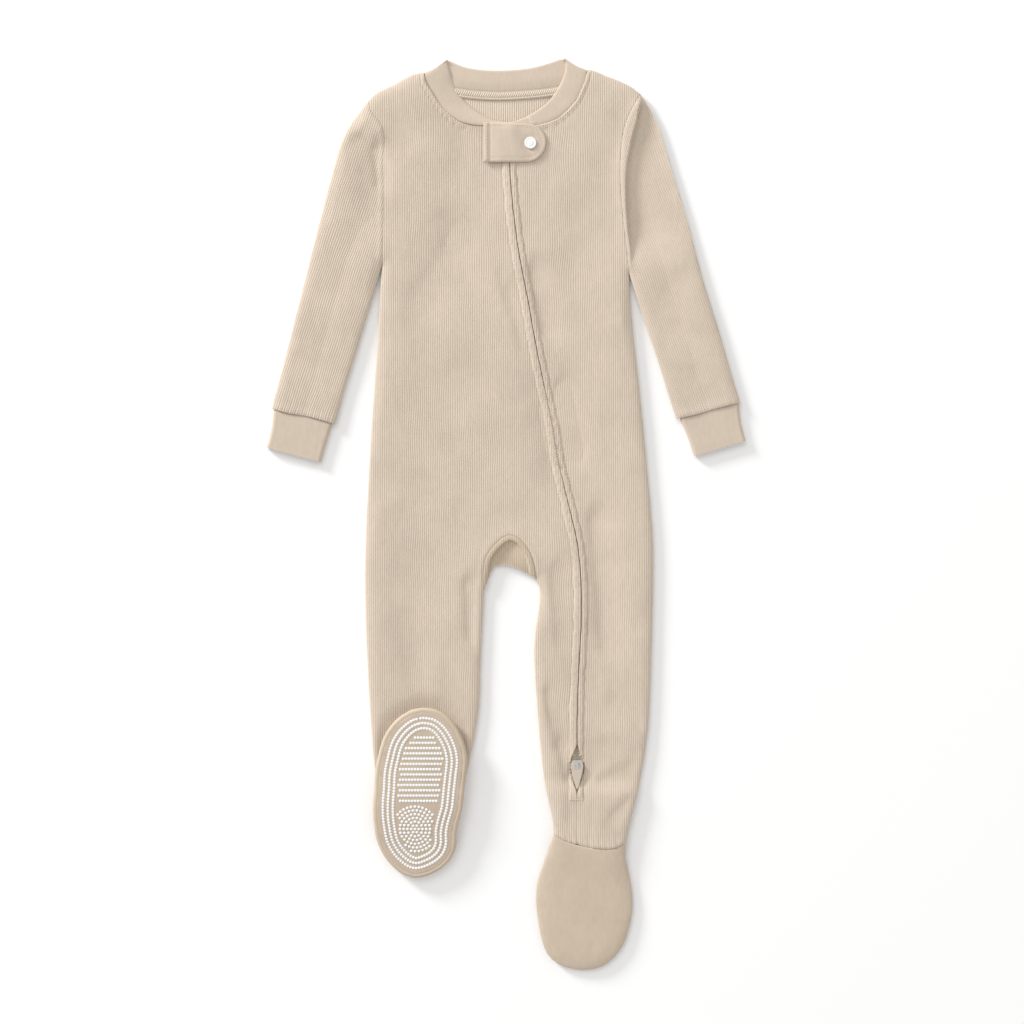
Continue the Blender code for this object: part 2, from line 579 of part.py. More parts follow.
def front_outline(side):
    """Outline of one front."""
    zip_line = zip_edge(side)
    neck = SEAMS["neck_" + side]
    neck_end = neck[-1, 1]
    ankle = cut_at_zip(SEAMS["ankle_left"], side)
    ankle_y = ankle[-1 if side == "right" else 0, 1]
    zip_line = zip_line[(zip_line[:, 1] < neck_end) & (zip_line[:, 1] > ankle_y)]
    if side == "left":
        return join(SEAMS["shoulder_left"], SEAMS["armhole_left"], SEAMS["side_left"],
                    ankle[::-1], zip_line[::-1], neck[::-1])
    return join(SEAMS["shoulder_right"], SEAMS["armhole_right"], SEAMS["side_right"],
                SEAMS["ankle_right"], SEAMS["inseam_right"][::-1], SEAMS["crotch_seam"],
                SEAMS["inseam_left"], ankle, zip_line[::-1], neck[::-1])


def make_front(side):
    """One front, with its ribs raised on the outer face."""
    outline = inset(front_outline(side))
    shift = -ZIP_WELT["right"] if side == "right" else ZIP_WELT["left"]
    zip_line = SEAMS["zip"]
    welt_line = [(x + shift, y) for x, y in zip_line if ZIP_TAPE_SPAN[1] < y < ZIP[1][1]]
    inner_lines = edge_lines(outline) + edge_lines(outline, SAG_WIDTH) + rows(outline, LIFT_ROWS)
    panel("front_" + side, outline,
          lambda points: front_outer(points) + ribs(points[:, 0]), front_inner, RIB_KNIT,
          columns(outline, RIB_PITCH / 2) + rows(outline, RIB_ROWS) + [welt_line], inner_lines)


def make_back():
    """The back with both legs, turned up over the crotch to the inseam seam on the front."""
    outline = inset(join(
        SEAMS["shoulder_right"], SEAMS["armhole_right"], SEAMS["side_right"], SEAMS["ankle_right"],
        SEAMS["inseam_right"][::-1], SEAMS["crotch_edge"], SEAMS["inseam_left"],
        SEAMS["ankle_left"], SEAMS["side_left"][::-1], SEAMS["armhole_left"][::-1],
        SEAMS["shoulder_left"][::-1], SEAMS["neck_back"][::-1]))
    overlap = 2 * SEAM_GAP

    def inner(points):
        """The inner face, which reaches into the turned-up part along the crotch edge."""
        at_crotch = distance_to(SEAMS["crotch_edge"][2:-2], points) < CLOTH
        return back_inner(points) + np.where(at_crotch, overlap, 0.0)

    lines = edge_lines(outline) + rows(outline, LIFT_ROWS)
    back = panel("back", outline, inner, back_outer, RIB_KNIT, lines, lines)

    turned = inset(join(SEAMS["crotch_edge"][2:-2], SEAMS["crotch_seam"][::-1][1:-1]), 0.5)

    def under(points):
        """The turned-up part's inner face, sunk into the back along the crotch edge."""
        at_crotch = distance_to(SEAMS["crotch_edge"], points) < CLOTH
        return np.where(at_crotch, SIDE_SEAM - SEAM_GAP, front_inner(points))

    turn_lines = columns(turned, RIB_PITCH / 2) + rows(turned, [-34])
    lip = panel("crotch_turn", turned, lambda points: front_outer(points) + ribs(points[:, 0]),
                under, RIB_KNIT, turn_lines, turn_lines)
    unite(back, lip)


# Tubes

def loft(name, outer, inner, shares, kind):
    """A tube from rings of outer points and rings of inner points, open at both ends.

    The shares say how far across each point of an outer and of an inner ring lies: over, then under.
    """
    rings = [np.array(ring) for ring in outer] + [np.array(ring) for ring in inner]
    starts = np.concatenate([[0], np.cumsum([len(ring) for ring in rings])])
    points = np.vstack(rings)
    faces = []
    groups = (range(len(outer)), range(len(outer), len(rings)))
    for group in groups:
        for a, b in zip(group[:-1], group[1:]):
            count = len(rings[a])
            for k in range(count):
                after = (k + 1) % count
                faces.append((starts[a] + k, starts[a] + after, starts[b] + after, starts[b] + k))
    for a, b in ((groups[0][0], groups[1][0]), (groups[0][-1], groups[1][-1])):
        first = [starts[a] + k for k in range(len(rings[a]))] + [starts[a]]
        second = [starts[b] + k for k in range(len(rings[b]))] + [starts[b]]
        corner_a, corner_b = len(shares[0][0]) - 1, len(shares[1][0]) - 1
        faces += stitch(first[:corner_a + 1], second[:corner_b + 1], shares[0][0], shares[1][0])
        faces += stitch(first[corner_a:], second[corner_b:], shares[0][1], shares[1][1])
    return body(name, points, faces, kind)


def flat_tube(name, sides, ends, stations, top_at, under_at, heights, cloth, kind, shift=0.0, ribbed=False):
    """A tube pressed flat: its two side edges, the curves of its ends and the heights of its faces.

    The columns lie at the shares top_at and under_at of the way from the first side to the second.
    The shift moves the first end off its seam, square to the seam.
    """
    first, second = sides
    top_outer, top_inner, under_inner, under_outer = heights

    def place(share, t):
        """The plan point at a share of the way across and a share t of the way down."""
        a, b = along(first, t), along(second, t)
        straight = a + (b - a) * share
        for curve, weight in zip(ends, ((1 - t)**2, t**2)):
            bow = along(curve, share) - (curve[0] + (curve[-1] - curve[0]) * share)
            straight = straight + bow * weight
        return straight + (shift * (1 - t)**2, 0.0)

    def ring(t, shares_top, shares_under, top, under, margin):
        """One ring: across the top and back underneath."""
        width = np.linalg.norm(along(first, t) - along(second, t))
        squeeze = margin / width
        over = np.array([place(squeeze + u * (1 - 2 * squeeze), t) for u in shares_top])
        below = np.array([place(squeeze + u * (1 - 2 * squeeze), t) for u in shares_under[::-1]])
        raised = top(over)
        if margin == 0.0 and ribbed:
            wave = np.where(np.arange(len(shares_top)) % 2 == 1, RIB_HEIGHT, 0.0)
            raised = raised + wave
        return np.vstack([np.column_stack([over, raised]), np.column_stack([below, under(below)])])

    gap = SEAM_GAP / 2 / np.linalg.norm(np.diff(first, axis=0), axis=1).sum()
    stations = gap + np.array(stations) * (1 - 2 * gap)
    outer = [ring(t, top_at, under_at[1:-1], top_outer, under_outer, 0.0) for t in stations]
    inner = [ring(t, under_at, under_at[1:-1], top_inner, under_inner, cloth) for t in stations]
    shares = ((top_at, 1 - under_at[::-1]), (under_at, 1 - under_at[::-1]))
    return loft(name, outer, inner, shares, kind)


def make_sleeve(side):
    """One sleeve, from the armhole seam to the cuff seam."""
    outer_edge, inner_edge = SEAMS["outer_" + side], SEAMS["inner_" + side]
    ends = (SEAMS["armhole_" + side], SEAMS["cuff_" + side])
    width = np.linalg.norm(ends[1][0] - ends[1][-1])
    count = 2 * round(width / RIB_PITCH)
    flat_tube("sleeve_" + side, (outer_edge, inner_edge), ends,
              [0.0, 0.16, 0.38, 0.66, 1.0], np.linspace(0, 1, count + 1),
              np.array([0, 0.012, 0.04, 0.08, 0.12, 0.16, 0.2, 0.26, 0.34, 0.5, 0.7, 0.86, 0.95, 0.988, 1]),
              (front_outer, front_inner, back_inner, back_outer), 2.2 * CLOTH, RIB_KNIT,
              {"right": -0.9, "left": 0.6}[side], ribbed=True)


def make_cuff(side):
    """One cuff, a doubled tube that is narrower than the sleeve."""
    edges = {"right": (CUFF_RIGHT_OUTER, CUFF_RIGHT_INNER), "left": (CUFF_LEFT_OUTER, CUFF_LEFT_INNER)}
    outer_edge, inner_edge = (smooth(points, 14) for points in edges[side])
    hem = np.array([outer_edge[-1], inner_edge[-1]])
    half = CUFF_CLOTH + 0.5

    def away(points):
        """Distance from the nearer side edge of the cuff."""
        return np.minimum(distance_to(outer_edge, points), distance_to(inner_edge, points))

    def bend(points, offset):
        return quarter((away(points) - offset) / (EDGE_ROUND / 2 - offset))

    heights = (lambda p: half + 0.2 + (half - 0.2) * bend(p, 0.0),
               lambda p: half + 0.1 + 0.4 * bend(p, CUFF_CLOTH),
               lambda p: half - 0.1 - 0.4 * bend(p, CUFF_CLOTH),
               lambda p: (half - 0.2) * (1 - bend(p, 0.0)))
    flat_tube("cuff_" + side, (outer_edge, inner_edge), (SEAMS["cuff_" + side], hem),
              [0.012, 0.35, 0.7, 1.0],
              np.array([0.0, 0.02, 0.06, 0.12, 0.3, 0.5, 0.7, 0.88, 0.94, 0.98, 1.0]),
              np.array([0.0, 0.03, 0.1, 0.5, 0.9, 0.97, 1.0]), heights, CUFF_CLOTH, JERSEY)


# Neck

def make_neckband():
    """The doubled band, from the zip round the right shoulder, the back and the left shoulder."""
    front_level = front_outer(np.array([(-50.0, 318.0)]))[0] - BAND_CLOTH / 2 + 0.2
    back_level = BAND_CLOTH / 2 + 0.15
    radius = (front_level - back_level) / 2
    axis_level = (front_level + back_level) / 2

    def half_band(seam, free, count, sign):
        """Sections of one front half, from the zip to the shoulder: seam edge, free edge, facing."""
        seam, free = smooth(seam)[::-1], smooth(free)[::-1]
        sections = []
        for t in np.linspace(0, 0.92, count):
            at_seam, at_free = along(seam, t), along(free, t)
            if t == 0:
                at_seam = at_seam + (sign * SEAM_GAP, 0)
                at_free = at_free + (sign * SEAM_GAP, 0)
            sections.append((at_seam, at_free, front_level, math.pi / 2))
        return sections

    def turn(seam_point, free_point, sign):
        """Sections of the fold at a shoulder, from the front over the edge to the back."""
        return [(np.array(seam_point), np.array(free_point), axis_level, angle)
                for angle in np.linspace(math.pi / 3, -math.pi / 3, 5)[::sign]]

    right = half_band(NECK_SEAM_RIGHT, NECK_FREE_RIGHT, 14, -1)
    left = half_band(NECK_SEAM_LEFT, NECK_FREE_LEFT, 14, 1)
    seam_back, free_back = smooth(BACK_NECK_SEAM), smooth(BACK_NECK_FREE)
    back = [(along(seam_back, t), along(free_back, t), back_level, -math.pi / 2)
            for t in np.linspace(0.05, 0.95, 15)]
    sections = (right + turn(seam_back[0], free_back[0], 1) + back
                + turn(seam_back[-1], free_back[-1], -1) + left[::-1])

    centre = np.array([0.0, 335.0])
    rings = []
    for at_seam, at_free, level, angle in sections:
        width = at_free - at_seam
        reach = np.linalg.norm(width)
        width = width / reach
        out = np.array([width[1], -width[0]])
        if np.dot(out, at_seam - centre) < 0:
            out = -out
        facing = np.array([out[0] * math.cos(angle), out[1] * math.cos(angle), math.sin(angle)])
        along_width = np.array([width[0], width[1], 0.0])
        turning = abs(angle) < math.pi / 2 - 0.01
        pull_in = radius + BAND_CLOTH / 2 if turning else 0.0
        if turning:
            at_seam = at_seam + width * TURN_CLEAR
            reach -= TURN_CLEAR
        middle = np.array([*(at_seam - out * pull_in), level])
        if turning:
            middle = middle + facing * radius
        half = BAND_CLOTH / 2
        profile = [(1.5 * SEAM_GAP, -half), (1.5 * SEAM_GAP, half), (reach * 0.5, half + 0.15),
                   (reach - 1.0, half), (reach, 0.4 * half), (reach, -0.4 * half),
                   (reach - 1.0, -half)]
        rings.append([middle + along_width * across + facing * up for across, up in profile])
    count = len(rings[0])
    points = np.array([point for ring in rings for point in ring])
    faces = [tuple(range(count)), tuple(range(len(points) - count, len(points)))]
    for j in range(len(rings) - 1):
        for k in range(count):
            after = (k + 1) % count
            faces.append((j * count + k, j * count + after, (j + 1) * count + after, (j + 1) * count + k))
    body("neckband", points, faces, JERSEY)


def make_neck_tape():
    """The tape over the back neck seam, lying on the inside of the back."""
    seam = smooth(BACK_NECK_SEAM)
    start, end = NECK_TAPE_SPAN
    top = np.array([point for point in seam if start < point[0] < end])
    top = top - (0.0, 0.4)
    bottom = top - (0.0, NECK_TAPE_DROP)
    level = CLOTH + SEAM_GAP
    panel("neck_tape", join(top[::-1], bottom), lambda p: np.full(len(p), level + TAPE_CLOTH),
          lambda p: np.full(len(p), level), JERSEY)


# Zip

def make_zip_tape():
    """The closed zip: a flat chain and tape under the two front edges."""
    line = SEAMS["zip"]
    high, low = ZIP_TAPE_SPAN
    line = np.array([point for point in line if low < point[1] < high] + [(ZIP[-1][0], low)])
    outline = join(line - (ZIP_TAPE_HALF, 0), (line + (ZIP_TAPE_HALF, 0))[::-1])
    lines = [line] + rows(outline, LIFT_ROWS)

    def top(points):
        return front_inner(points) - 1.4 * SEAM_GAP

    panel("zip_tape", outline, top, lambda points: np.maximum(
        top(points) - ZIP_TAPE_CLOTH, back_inner(points) + SEAM_GAP), ZIP_CLOTH, lines, lines)


def extrude(name, outline, low, high, kind, holes=(), origin=(0.0, 0.0, 0.0)):
    """A plate between two heights, with holes cut through it."""
    shape = bmesh.new()
    corners = [shape.verts.new(((x - origin[0]) * MM, (y - origin[1]) * MM, (low - origin[2]) * MM))
               for x, y in outline]
    floor = shape.faces.new(corners)
    raised = bmesh.ops.extrude_face_region(shape, geom=[floor])
    moved = [item for item in raised["geom"] if isinstance(item, bmesh.types.BMVert)]
    bmesh.ops.translate(shape, verts=moved, vec=(0, 0, (high - low) * MM))
    bmesh.ops.recalc_face_normals(shape, faces=shape.faces)
    mesh = bpy.data.meshes.new(name)
    shape.to_mesh(mesh)
    shape.free()
    mesh.shade_smooth()
    mesh.set_sharp_from_angle(angle=math.radians(35))
    made = bpy.data.objects.new(name, mesh)
    made.location = Vector(origin) * MM
    made.data.materials.append(material(kind))
    bpy.context.scene.collection.objects.link(made)
    for number, hole in enumerate(holes):
        cutter = extrude(f"{name}_cut_{number}", hole, low - 1, high + 1, kind, origin=origin)
        cut = made.modifiers.new("cut", "BOOLEAN")
        cut.operation = "DIFFERENCE"
        cut.solver = "EXACT"
        cut.object = cutter
        cutter.hide_render = True
        cutter.display_type = "WIRE"
    return made


def slider_levels():
    """Heights of the slider's underside and top, and of the pull's axis over it."""
    low = front_inner(np.array([SLIDER_AT]))[0]
    high = low + SLIDER_SIZE["height"]
    return low, high, high + 0.3 + PULL["bar"] / 2


def make_slider():
    """The metal slider, with a bridge over its back for the pull."""
    low, high, _ = slider_levels()
    x, y = SLIDER_AT
    half, length = SLIDER_SIZE["width"] / 2, SLIDER_SIZE["length"] / 2
    outline = [(x - half * 0.62, y - length), (x + half * 0.62, y - length),
               (x + half * 0.95, y - length * 0.3), (x + half, y + length * 0.5),
               (x + half * 0.7, y + length), (x - half * 0.7, y + length),
               (x - half, y + length * 0.5), (x - half * 0.95, y - length * 0.3)]
    slider = extrude("zip_slider", outline, low, high, STEEL)
    bevel = slider.modifiers.new("bevel", "BEVEL")
    bevel.width = 0.35 * MM
    bevel.segments = 1
    foot, span, rise, bar = high - 0.6, BRIDGE["length"] / 2, BRIDGE["height"], BRIDGE["thickness"]
    arch = [(-span, foot), (-span, high + rise * 0.55), (-span * 0.6, high + rise), (span * 0.6, high + rise),
            (span, high + rise * 0.55), (span, foot), (span - bar, foot), (span - bar, high + rise * 0.45),
            (span * 0.5, high + rise - bar), (-span * 0.5, high + rise - bar),
            (-span + bar, high + rise * 0.45), (-span + bar, foot)]
    wide = BRIDGE["width"] / 2
    points = [(x + side * wide, PULL_AT_Y + along_y, z) for side in (-1, 1) for along_y, z in arch]
    count = len(arch)
    faces = [tuple(range(count)), tuple(range(count, 2 * count))]
    faces += [(k, (k + 1) % count, count + (k + 1) % count, count + k) for k in range(count)]
    bridge = body("slider_bridge", points, faces, STEEL)
    unite(slider, bridge)


def make_pull():
    """The teardrop pull tab; its origin lies on the hinge axis, under the slider's bridge."""
    _, _, level = slider_levels()
    x, y = SLIDER_AT[0], PULL_AT_Y
    half, length = PULL["width"] / 2, PULL["length"]
    right_side = [(0.7, 0.55), (0.92, 0.0), (1.0, -1.2), (0.98, -3.0), (0.86, -6.0), (0.68, -10.0),
                  (0.46, -14.0), (0.24, -17.6), (0.1, -length + 1.6)]
    outline = [(x + share * half, y + down) for share, down in right_side]
    outline += [(x - share * half, y + down) for share, down in right_side[::-1]]
    eye, bar = PULL["eye_width"] / 2, PULL["bar"] / 2
    reach = PULL["eye_length"]
    below = [(x - eye, y - bar), (x + eye, y - bar), (x + eye, y - reach), (x - eye, y - reach)]
    origin = (x, y, level)
    low, high = level - PULL["thickness"] / 2, level + PULL["thickness"] / 2
    pull = extrude("zip_pull", outline, low, high, PAINTED_METAL, (below,), origin)
    bevel = pull.modifiers.new("bevel", "BEVEL")
    bevel.width = 0.25 * MM
    bevel.segments = 1
    bevel.limit_method = "ANGLE"


# Flap and snap

def flap_outline():
    """The flap in plan: square at the sewn end, round at the snap end."""
    left, right, top, bottom = (FLAP_BOX[key] for key in ("left", "right", "top", "bottom"))
    radius = (top - bottom) / 2
    middle = (top + bottom) / 2
    turn = np.linspace(math.pi / 2, -math.pi / 2, 13)
    end = [(right - radius + radius * math.cos(a), middle + (radius - 1.0 * (math.sin(a) > 0)) * math.sin(a))
           for a in turn]
    corner = FLAP_CORNER
    return np.array([(left + corner, bottom), (left, bottom + corner), (left, top - corner),
                     (left + corner, top), *end])[::-1]


def flap_under(points):
    """The flap lies on the fronts and the neckband, clear of their ribs."""
    on_front = front_outer(points) + RIB_HEIGHT + SEAM_GAP
    band_top = front_outer(np.array([(-50.0, 318.0)]))[0] + 0.2 + 0.15 + SEAM_GAP
    return np.maximum(on_front, band_top)


def make_flap():
    """The doubled flap over the top of the zip."""
    outline = flap_outline()
    lines = [[(x, 270.0), (x, 320.0)] for x in (-13.0, -6.0, 0.0, 3.0, 6.0, 14.0, 24.0)]
    lines += [[(-25.0, y), (40.0, y)] for y in (286.0, 296.0, 306.0)]
    rim = np.vstack([outline, outline[:1]])

    def top(points):
        round_over = quarter(distance_to(rim, points) / 2.2)
        return flap_under(points) + FLAP_CLOTH * (0.55 + 0.45 * round_over)

    ring = inset(outline, 1.4)
    lines.append(np.vstack([ring, ring[:1]]))
    panel("zip_flap", outline, top, flap_under, JERSEY, lines, lines[:-1])


def make_snap():
    """The snap's domed cap on the flap."""
    x, y = SNAP_AT
    under = flap_under(np.array([SNAP_AT]))[0] + FLAP_CLOTH + SEAM_GAP
    profile = [(0.0, 0.0), (SNAP_RADIUS, 0.0), (SNAP_RADIUS, 0.5), (SNAP_RADIUS * 0.93, 1.0),
               (SNAP_RADIUS * 0.7, 1.45), (SNAP_RADIUS * 0.36, SNAP_HEIGHT - 0.04), (0.0, SNAP_HEIGHT)]
    sides = 22
    points = [(x, y, under), (x, y, under + SNAP_HEIGHT)]
    for radius, height in profile[1:-1]:
        points += [(x + radius * math.cos(2 * math.pi * k / sides),
                    y + radius * math.sin(2 * math.pi * k / sides), under + height) for k in range(sides)]
    faces = []
    levels = len(profile) - 2
    for k in range(sides):
        after = (k + 1) % sides
        faces.append((0, 2 + k, 2 + after))
        top_ring = 2 + (levels - 1) * sides
        faces.append((1, top_ring + k, top_ring + after))
        for j in range(levels - 1):
            a, b = 2 + j * sides, 2 + (j + 1) * sides
            faces.append((a + k, a + after, b + after, b + k))
    body("snap_cap", points, faces, WHITE_PLASTIC)


# Feet

def make_left_foot():
    """The foot that points down: its upper over its sole, whose heel lies under the ankle."""
    edge = smooth(FOOT_LEFT)
    ankle = SEAMS["ankle_left"]

    def away(points):
        return distance_to(edge, points)

    def upper_outer(points):
        """Level with the leg's front at the ankle seam, lower at the toe."""
        at_seam = front_outer(points)
        on_foot = SIDE_SEAM + EDGE_STEP + (FRONT_RISE - 0.3 - EDGE_STEP) * quarter(away(points) / EDGE_ROUND)
        blend = ease(distance_to(ankle, points) / 30)
        return np.minimum(at_seam, SIDE_SEAM + 5) * (1 - blend) + on_foot * blend

    def upper_inner(points):
        seam = SIDE_SEAM + SEAM_GAP / 2
        bend = quarter((away(points) - CLOTH) / (EDGE_ROUND - CLOTH))
        level = np.minimum(upper_outer(points) - CLOTH, SOLE_CLOTH + ROOM)
        return seam + (level - seam) * bend

    upper = inset(join(edge, ankle[::-1]))
    lines = rows(upper, [-276, -288, -302, -318, -334, -346, -356]) + columns(upper, 7.0)
    panel("foot_left", upper, upper_outer, upper_inner, JERSEY, lines, lines)

    heel = smooth(SOLE_LEFT_HEEL)
    toe = edge[2:-2]
    outline = inset(join(toe, heel))
    rim = np.vstack([toe, heel, toe[:1]])

    def sole_outer(points):
        under_leg = ease((points[:, 1] + 276) / 14)
        curl = (1 - quarter(distance_to(toe, points) / EDGE_ROUND)) * (1 - under_leg)
        return (SIDE_SEAM - EDGE_STEP) * curl

    def sole_inner(points):
        under_leg = ease((points[:, 1] + 276) / 14)
        curl = (1 - quarter((distance_to(toe, points) - CLOTH) / (EDGE_ROUND - CLOTH))) * (1 - under_leg)
        return SOLE_CLOTH + (SIDE_SEAM - SEAM_GAP / 2 - SOLE_CLOTH) * curl

    sole_lines = rows(outline, [-240, -258, -270, -288, -310, -332, -350]) + columns(outline, 7.0)
    panel("sole_left", outline, sole_inner, sole_outer, SOLE_JERSEY, sole_lines, sole_lines)


def foot_top(points):
    """Height of the folded foot's sole, from the toe on the shin to the heel on the surface."""
    return FOOT_HEEL_TOP + (FOOT_TOE_TOP - FOOT_HEEL_TOP) * ease((points[:, 1] + 288) / 60)


def make_right_foot():
    """The foot folded up over the shin: its hidden layers as one rounded body, its sole on top."""
    edge = part_sides(smooth(FOOT_RIGHT + FOOT_RIGHT[:1])[:-1])
    rim = np.vstack([edge, edge[:1]])

    def away(points):
        return distance_to(rim, points)

    def rest(points):
        """What the foot lies on: the shin, then the surface beyond the ankle."""
        start, end = FOOT_STEP
        on_shin = SIDE_SEAM + FRONT_RISE + RIB_HEIGHT + SEAM_GAP
        return on_shin * (1 - ease((start - points[:, 1]) / (start - end)))

    def middle(points):
        return (rest(points) + foot_top(points)) / 2

    def under(points):
        bend = quarter(away(points) / FOOT_ROUND)
        return rest(points) * bend + (middle(points) - 0.3) * (1 - bend)

    def over(points):
        """The strip that shows round the sole, and the bed that the sole lies on."""
        round_over = quarter(away(points) / FOOT_STRIP)
        strip = middle(points) + 0.3 + (foot_top(points) - 0.5 - middle(points)) * round_over
        bed = foot_top(points) - SOLE_CLOTH - SEAM_GAP
        return np.where(away(points) < FOOT_STRIP + 0.05, strip, bed)

    rings = [inset(edge, width) for width in (0.5, 1.6, FOOT_STRIP, FOOT_STRIP + 0.3)]
    rings = [np.vstack([ring, ring[:1]]) for ring in rings]
    lower_rings = [inset(edge, width) for width in (0.7, 2.4, FOOT_ROUND)]
    lower_rings = [np.vstack([ring, ring[:1]]) for ring in lower_rings]
    steps = rows(edge, [-206, -232, -259, -263, -266, -270])
    panel("foot_right", edge, over, under, JERSEY, rings + steps, lower_rings + steps)

    sole = inset(edge, FOOT_STRIP + 2 * SEAM_GAP)
    sole_rim = np.vstack([sole, sole[:1]])

    def sole_outer(points):
        round_over = quarter(distance_to(sole_rim, points) / 2.5)
        return foot_top(points) - 0.5 + 0.5 * round_over

    sole_ring = inset(sole, 1.0)
    sole_lines = [np.vstack([sole_ring, sole_ring[:1]])] + rows(sole, [-180, -206, -232, -256, -274])
    panel("sole_right", sole, sole_outer, lambda points: foot_top(points) - SOLE_CLOTH, SOLE_JERSEY,
          sole_lines, rows(sole, [-180, -206, -232, -256, -274]))


def main():
    for old in list(bpy.data.objects):
        bpy.data.objects.remove(old, do_unlink=True)
    for side in ("right", "left"):
        make_front(side)
        make_sleeve(side)
        make_cuff(side)
    make_back()
    make_neckband()
    make_neck_tape()
    make_zip_tape()
    make_slider()
    make_pull()
    make_flap()
    make_snap()
    make_left_foot()
    make_right_foot()
    for made in bpy.data.objects:
        made.location -= Vector((*MIDDLE, 0.0)) * MM


main()
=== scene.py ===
"""Looks of the footed baby sleepsuit, laid flat on a white surface and seen from straight above.

Plan curves are millimetres, on the same plan as the CAD's; a mesh is turned into metres and moved to
the CAD's origin where it is made. Every cloth piece is a thin shell on its solid's form, with finer
ribs, folds, rolled seams and sewing.
"""

import math

import bmesh
import bpy
import numpy as np
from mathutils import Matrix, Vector
from mathutils.geometry import delaunay_2d_cdt


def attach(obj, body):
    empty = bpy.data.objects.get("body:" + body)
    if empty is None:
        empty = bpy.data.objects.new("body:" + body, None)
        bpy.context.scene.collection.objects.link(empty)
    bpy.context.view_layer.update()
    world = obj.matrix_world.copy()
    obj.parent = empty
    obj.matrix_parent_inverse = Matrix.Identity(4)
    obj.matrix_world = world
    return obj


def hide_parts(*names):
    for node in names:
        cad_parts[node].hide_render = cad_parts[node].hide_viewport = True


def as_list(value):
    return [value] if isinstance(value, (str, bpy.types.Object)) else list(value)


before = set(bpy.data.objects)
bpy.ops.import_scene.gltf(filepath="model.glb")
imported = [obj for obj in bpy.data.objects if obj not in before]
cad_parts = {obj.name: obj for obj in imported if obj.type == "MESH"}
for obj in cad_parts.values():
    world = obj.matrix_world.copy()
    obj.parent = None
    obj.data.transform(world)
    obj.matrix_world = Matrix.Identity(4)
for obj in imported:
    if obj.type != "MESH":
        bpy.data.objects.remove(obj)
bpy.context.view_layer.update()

MM = 0.001
MIDDLE = (-0.05, -0.95)     # plan point of the CAD's origin
CLOTH = 1.3
GAP = 0.3
SEAM = 0.03                 # sewn edges almost touch
SIDE_SEAM = 3.2             # height of the side seams
FRONT_RISE = 2.9            # from the side seam to the front's outer face
EDGE_STEP = 0.5
EDGE_ROUND = 9.0            # front and back bend round to the seam over this width
SAG = 1.2                   # the front sinks this much inside its puffed edge
SAG_WIDTH = (12.0, 46.0)
HEEL_LIFT = 1.9             # the left ankle lies this high over its own heel
HEEL_LIFT_SPAN = (-212.0, -226.0)
RIB_PITCH = 1.76
RIB_HEIGHT = 0.24
RIB_COLUMN = RIB_PITCH / 4  # from one mesh column to the next
ROW_STEP = 3.5
RIB_KNIT = (RIB_PITCH, 1.3)     # width and height of one stitch
JERSEY_KNIT = (0.9, 0.8)
WELT = {"right": 6.0, "left": 5.0}
WELT_RISE = 0.9
BAND_CLOTH = 2.4

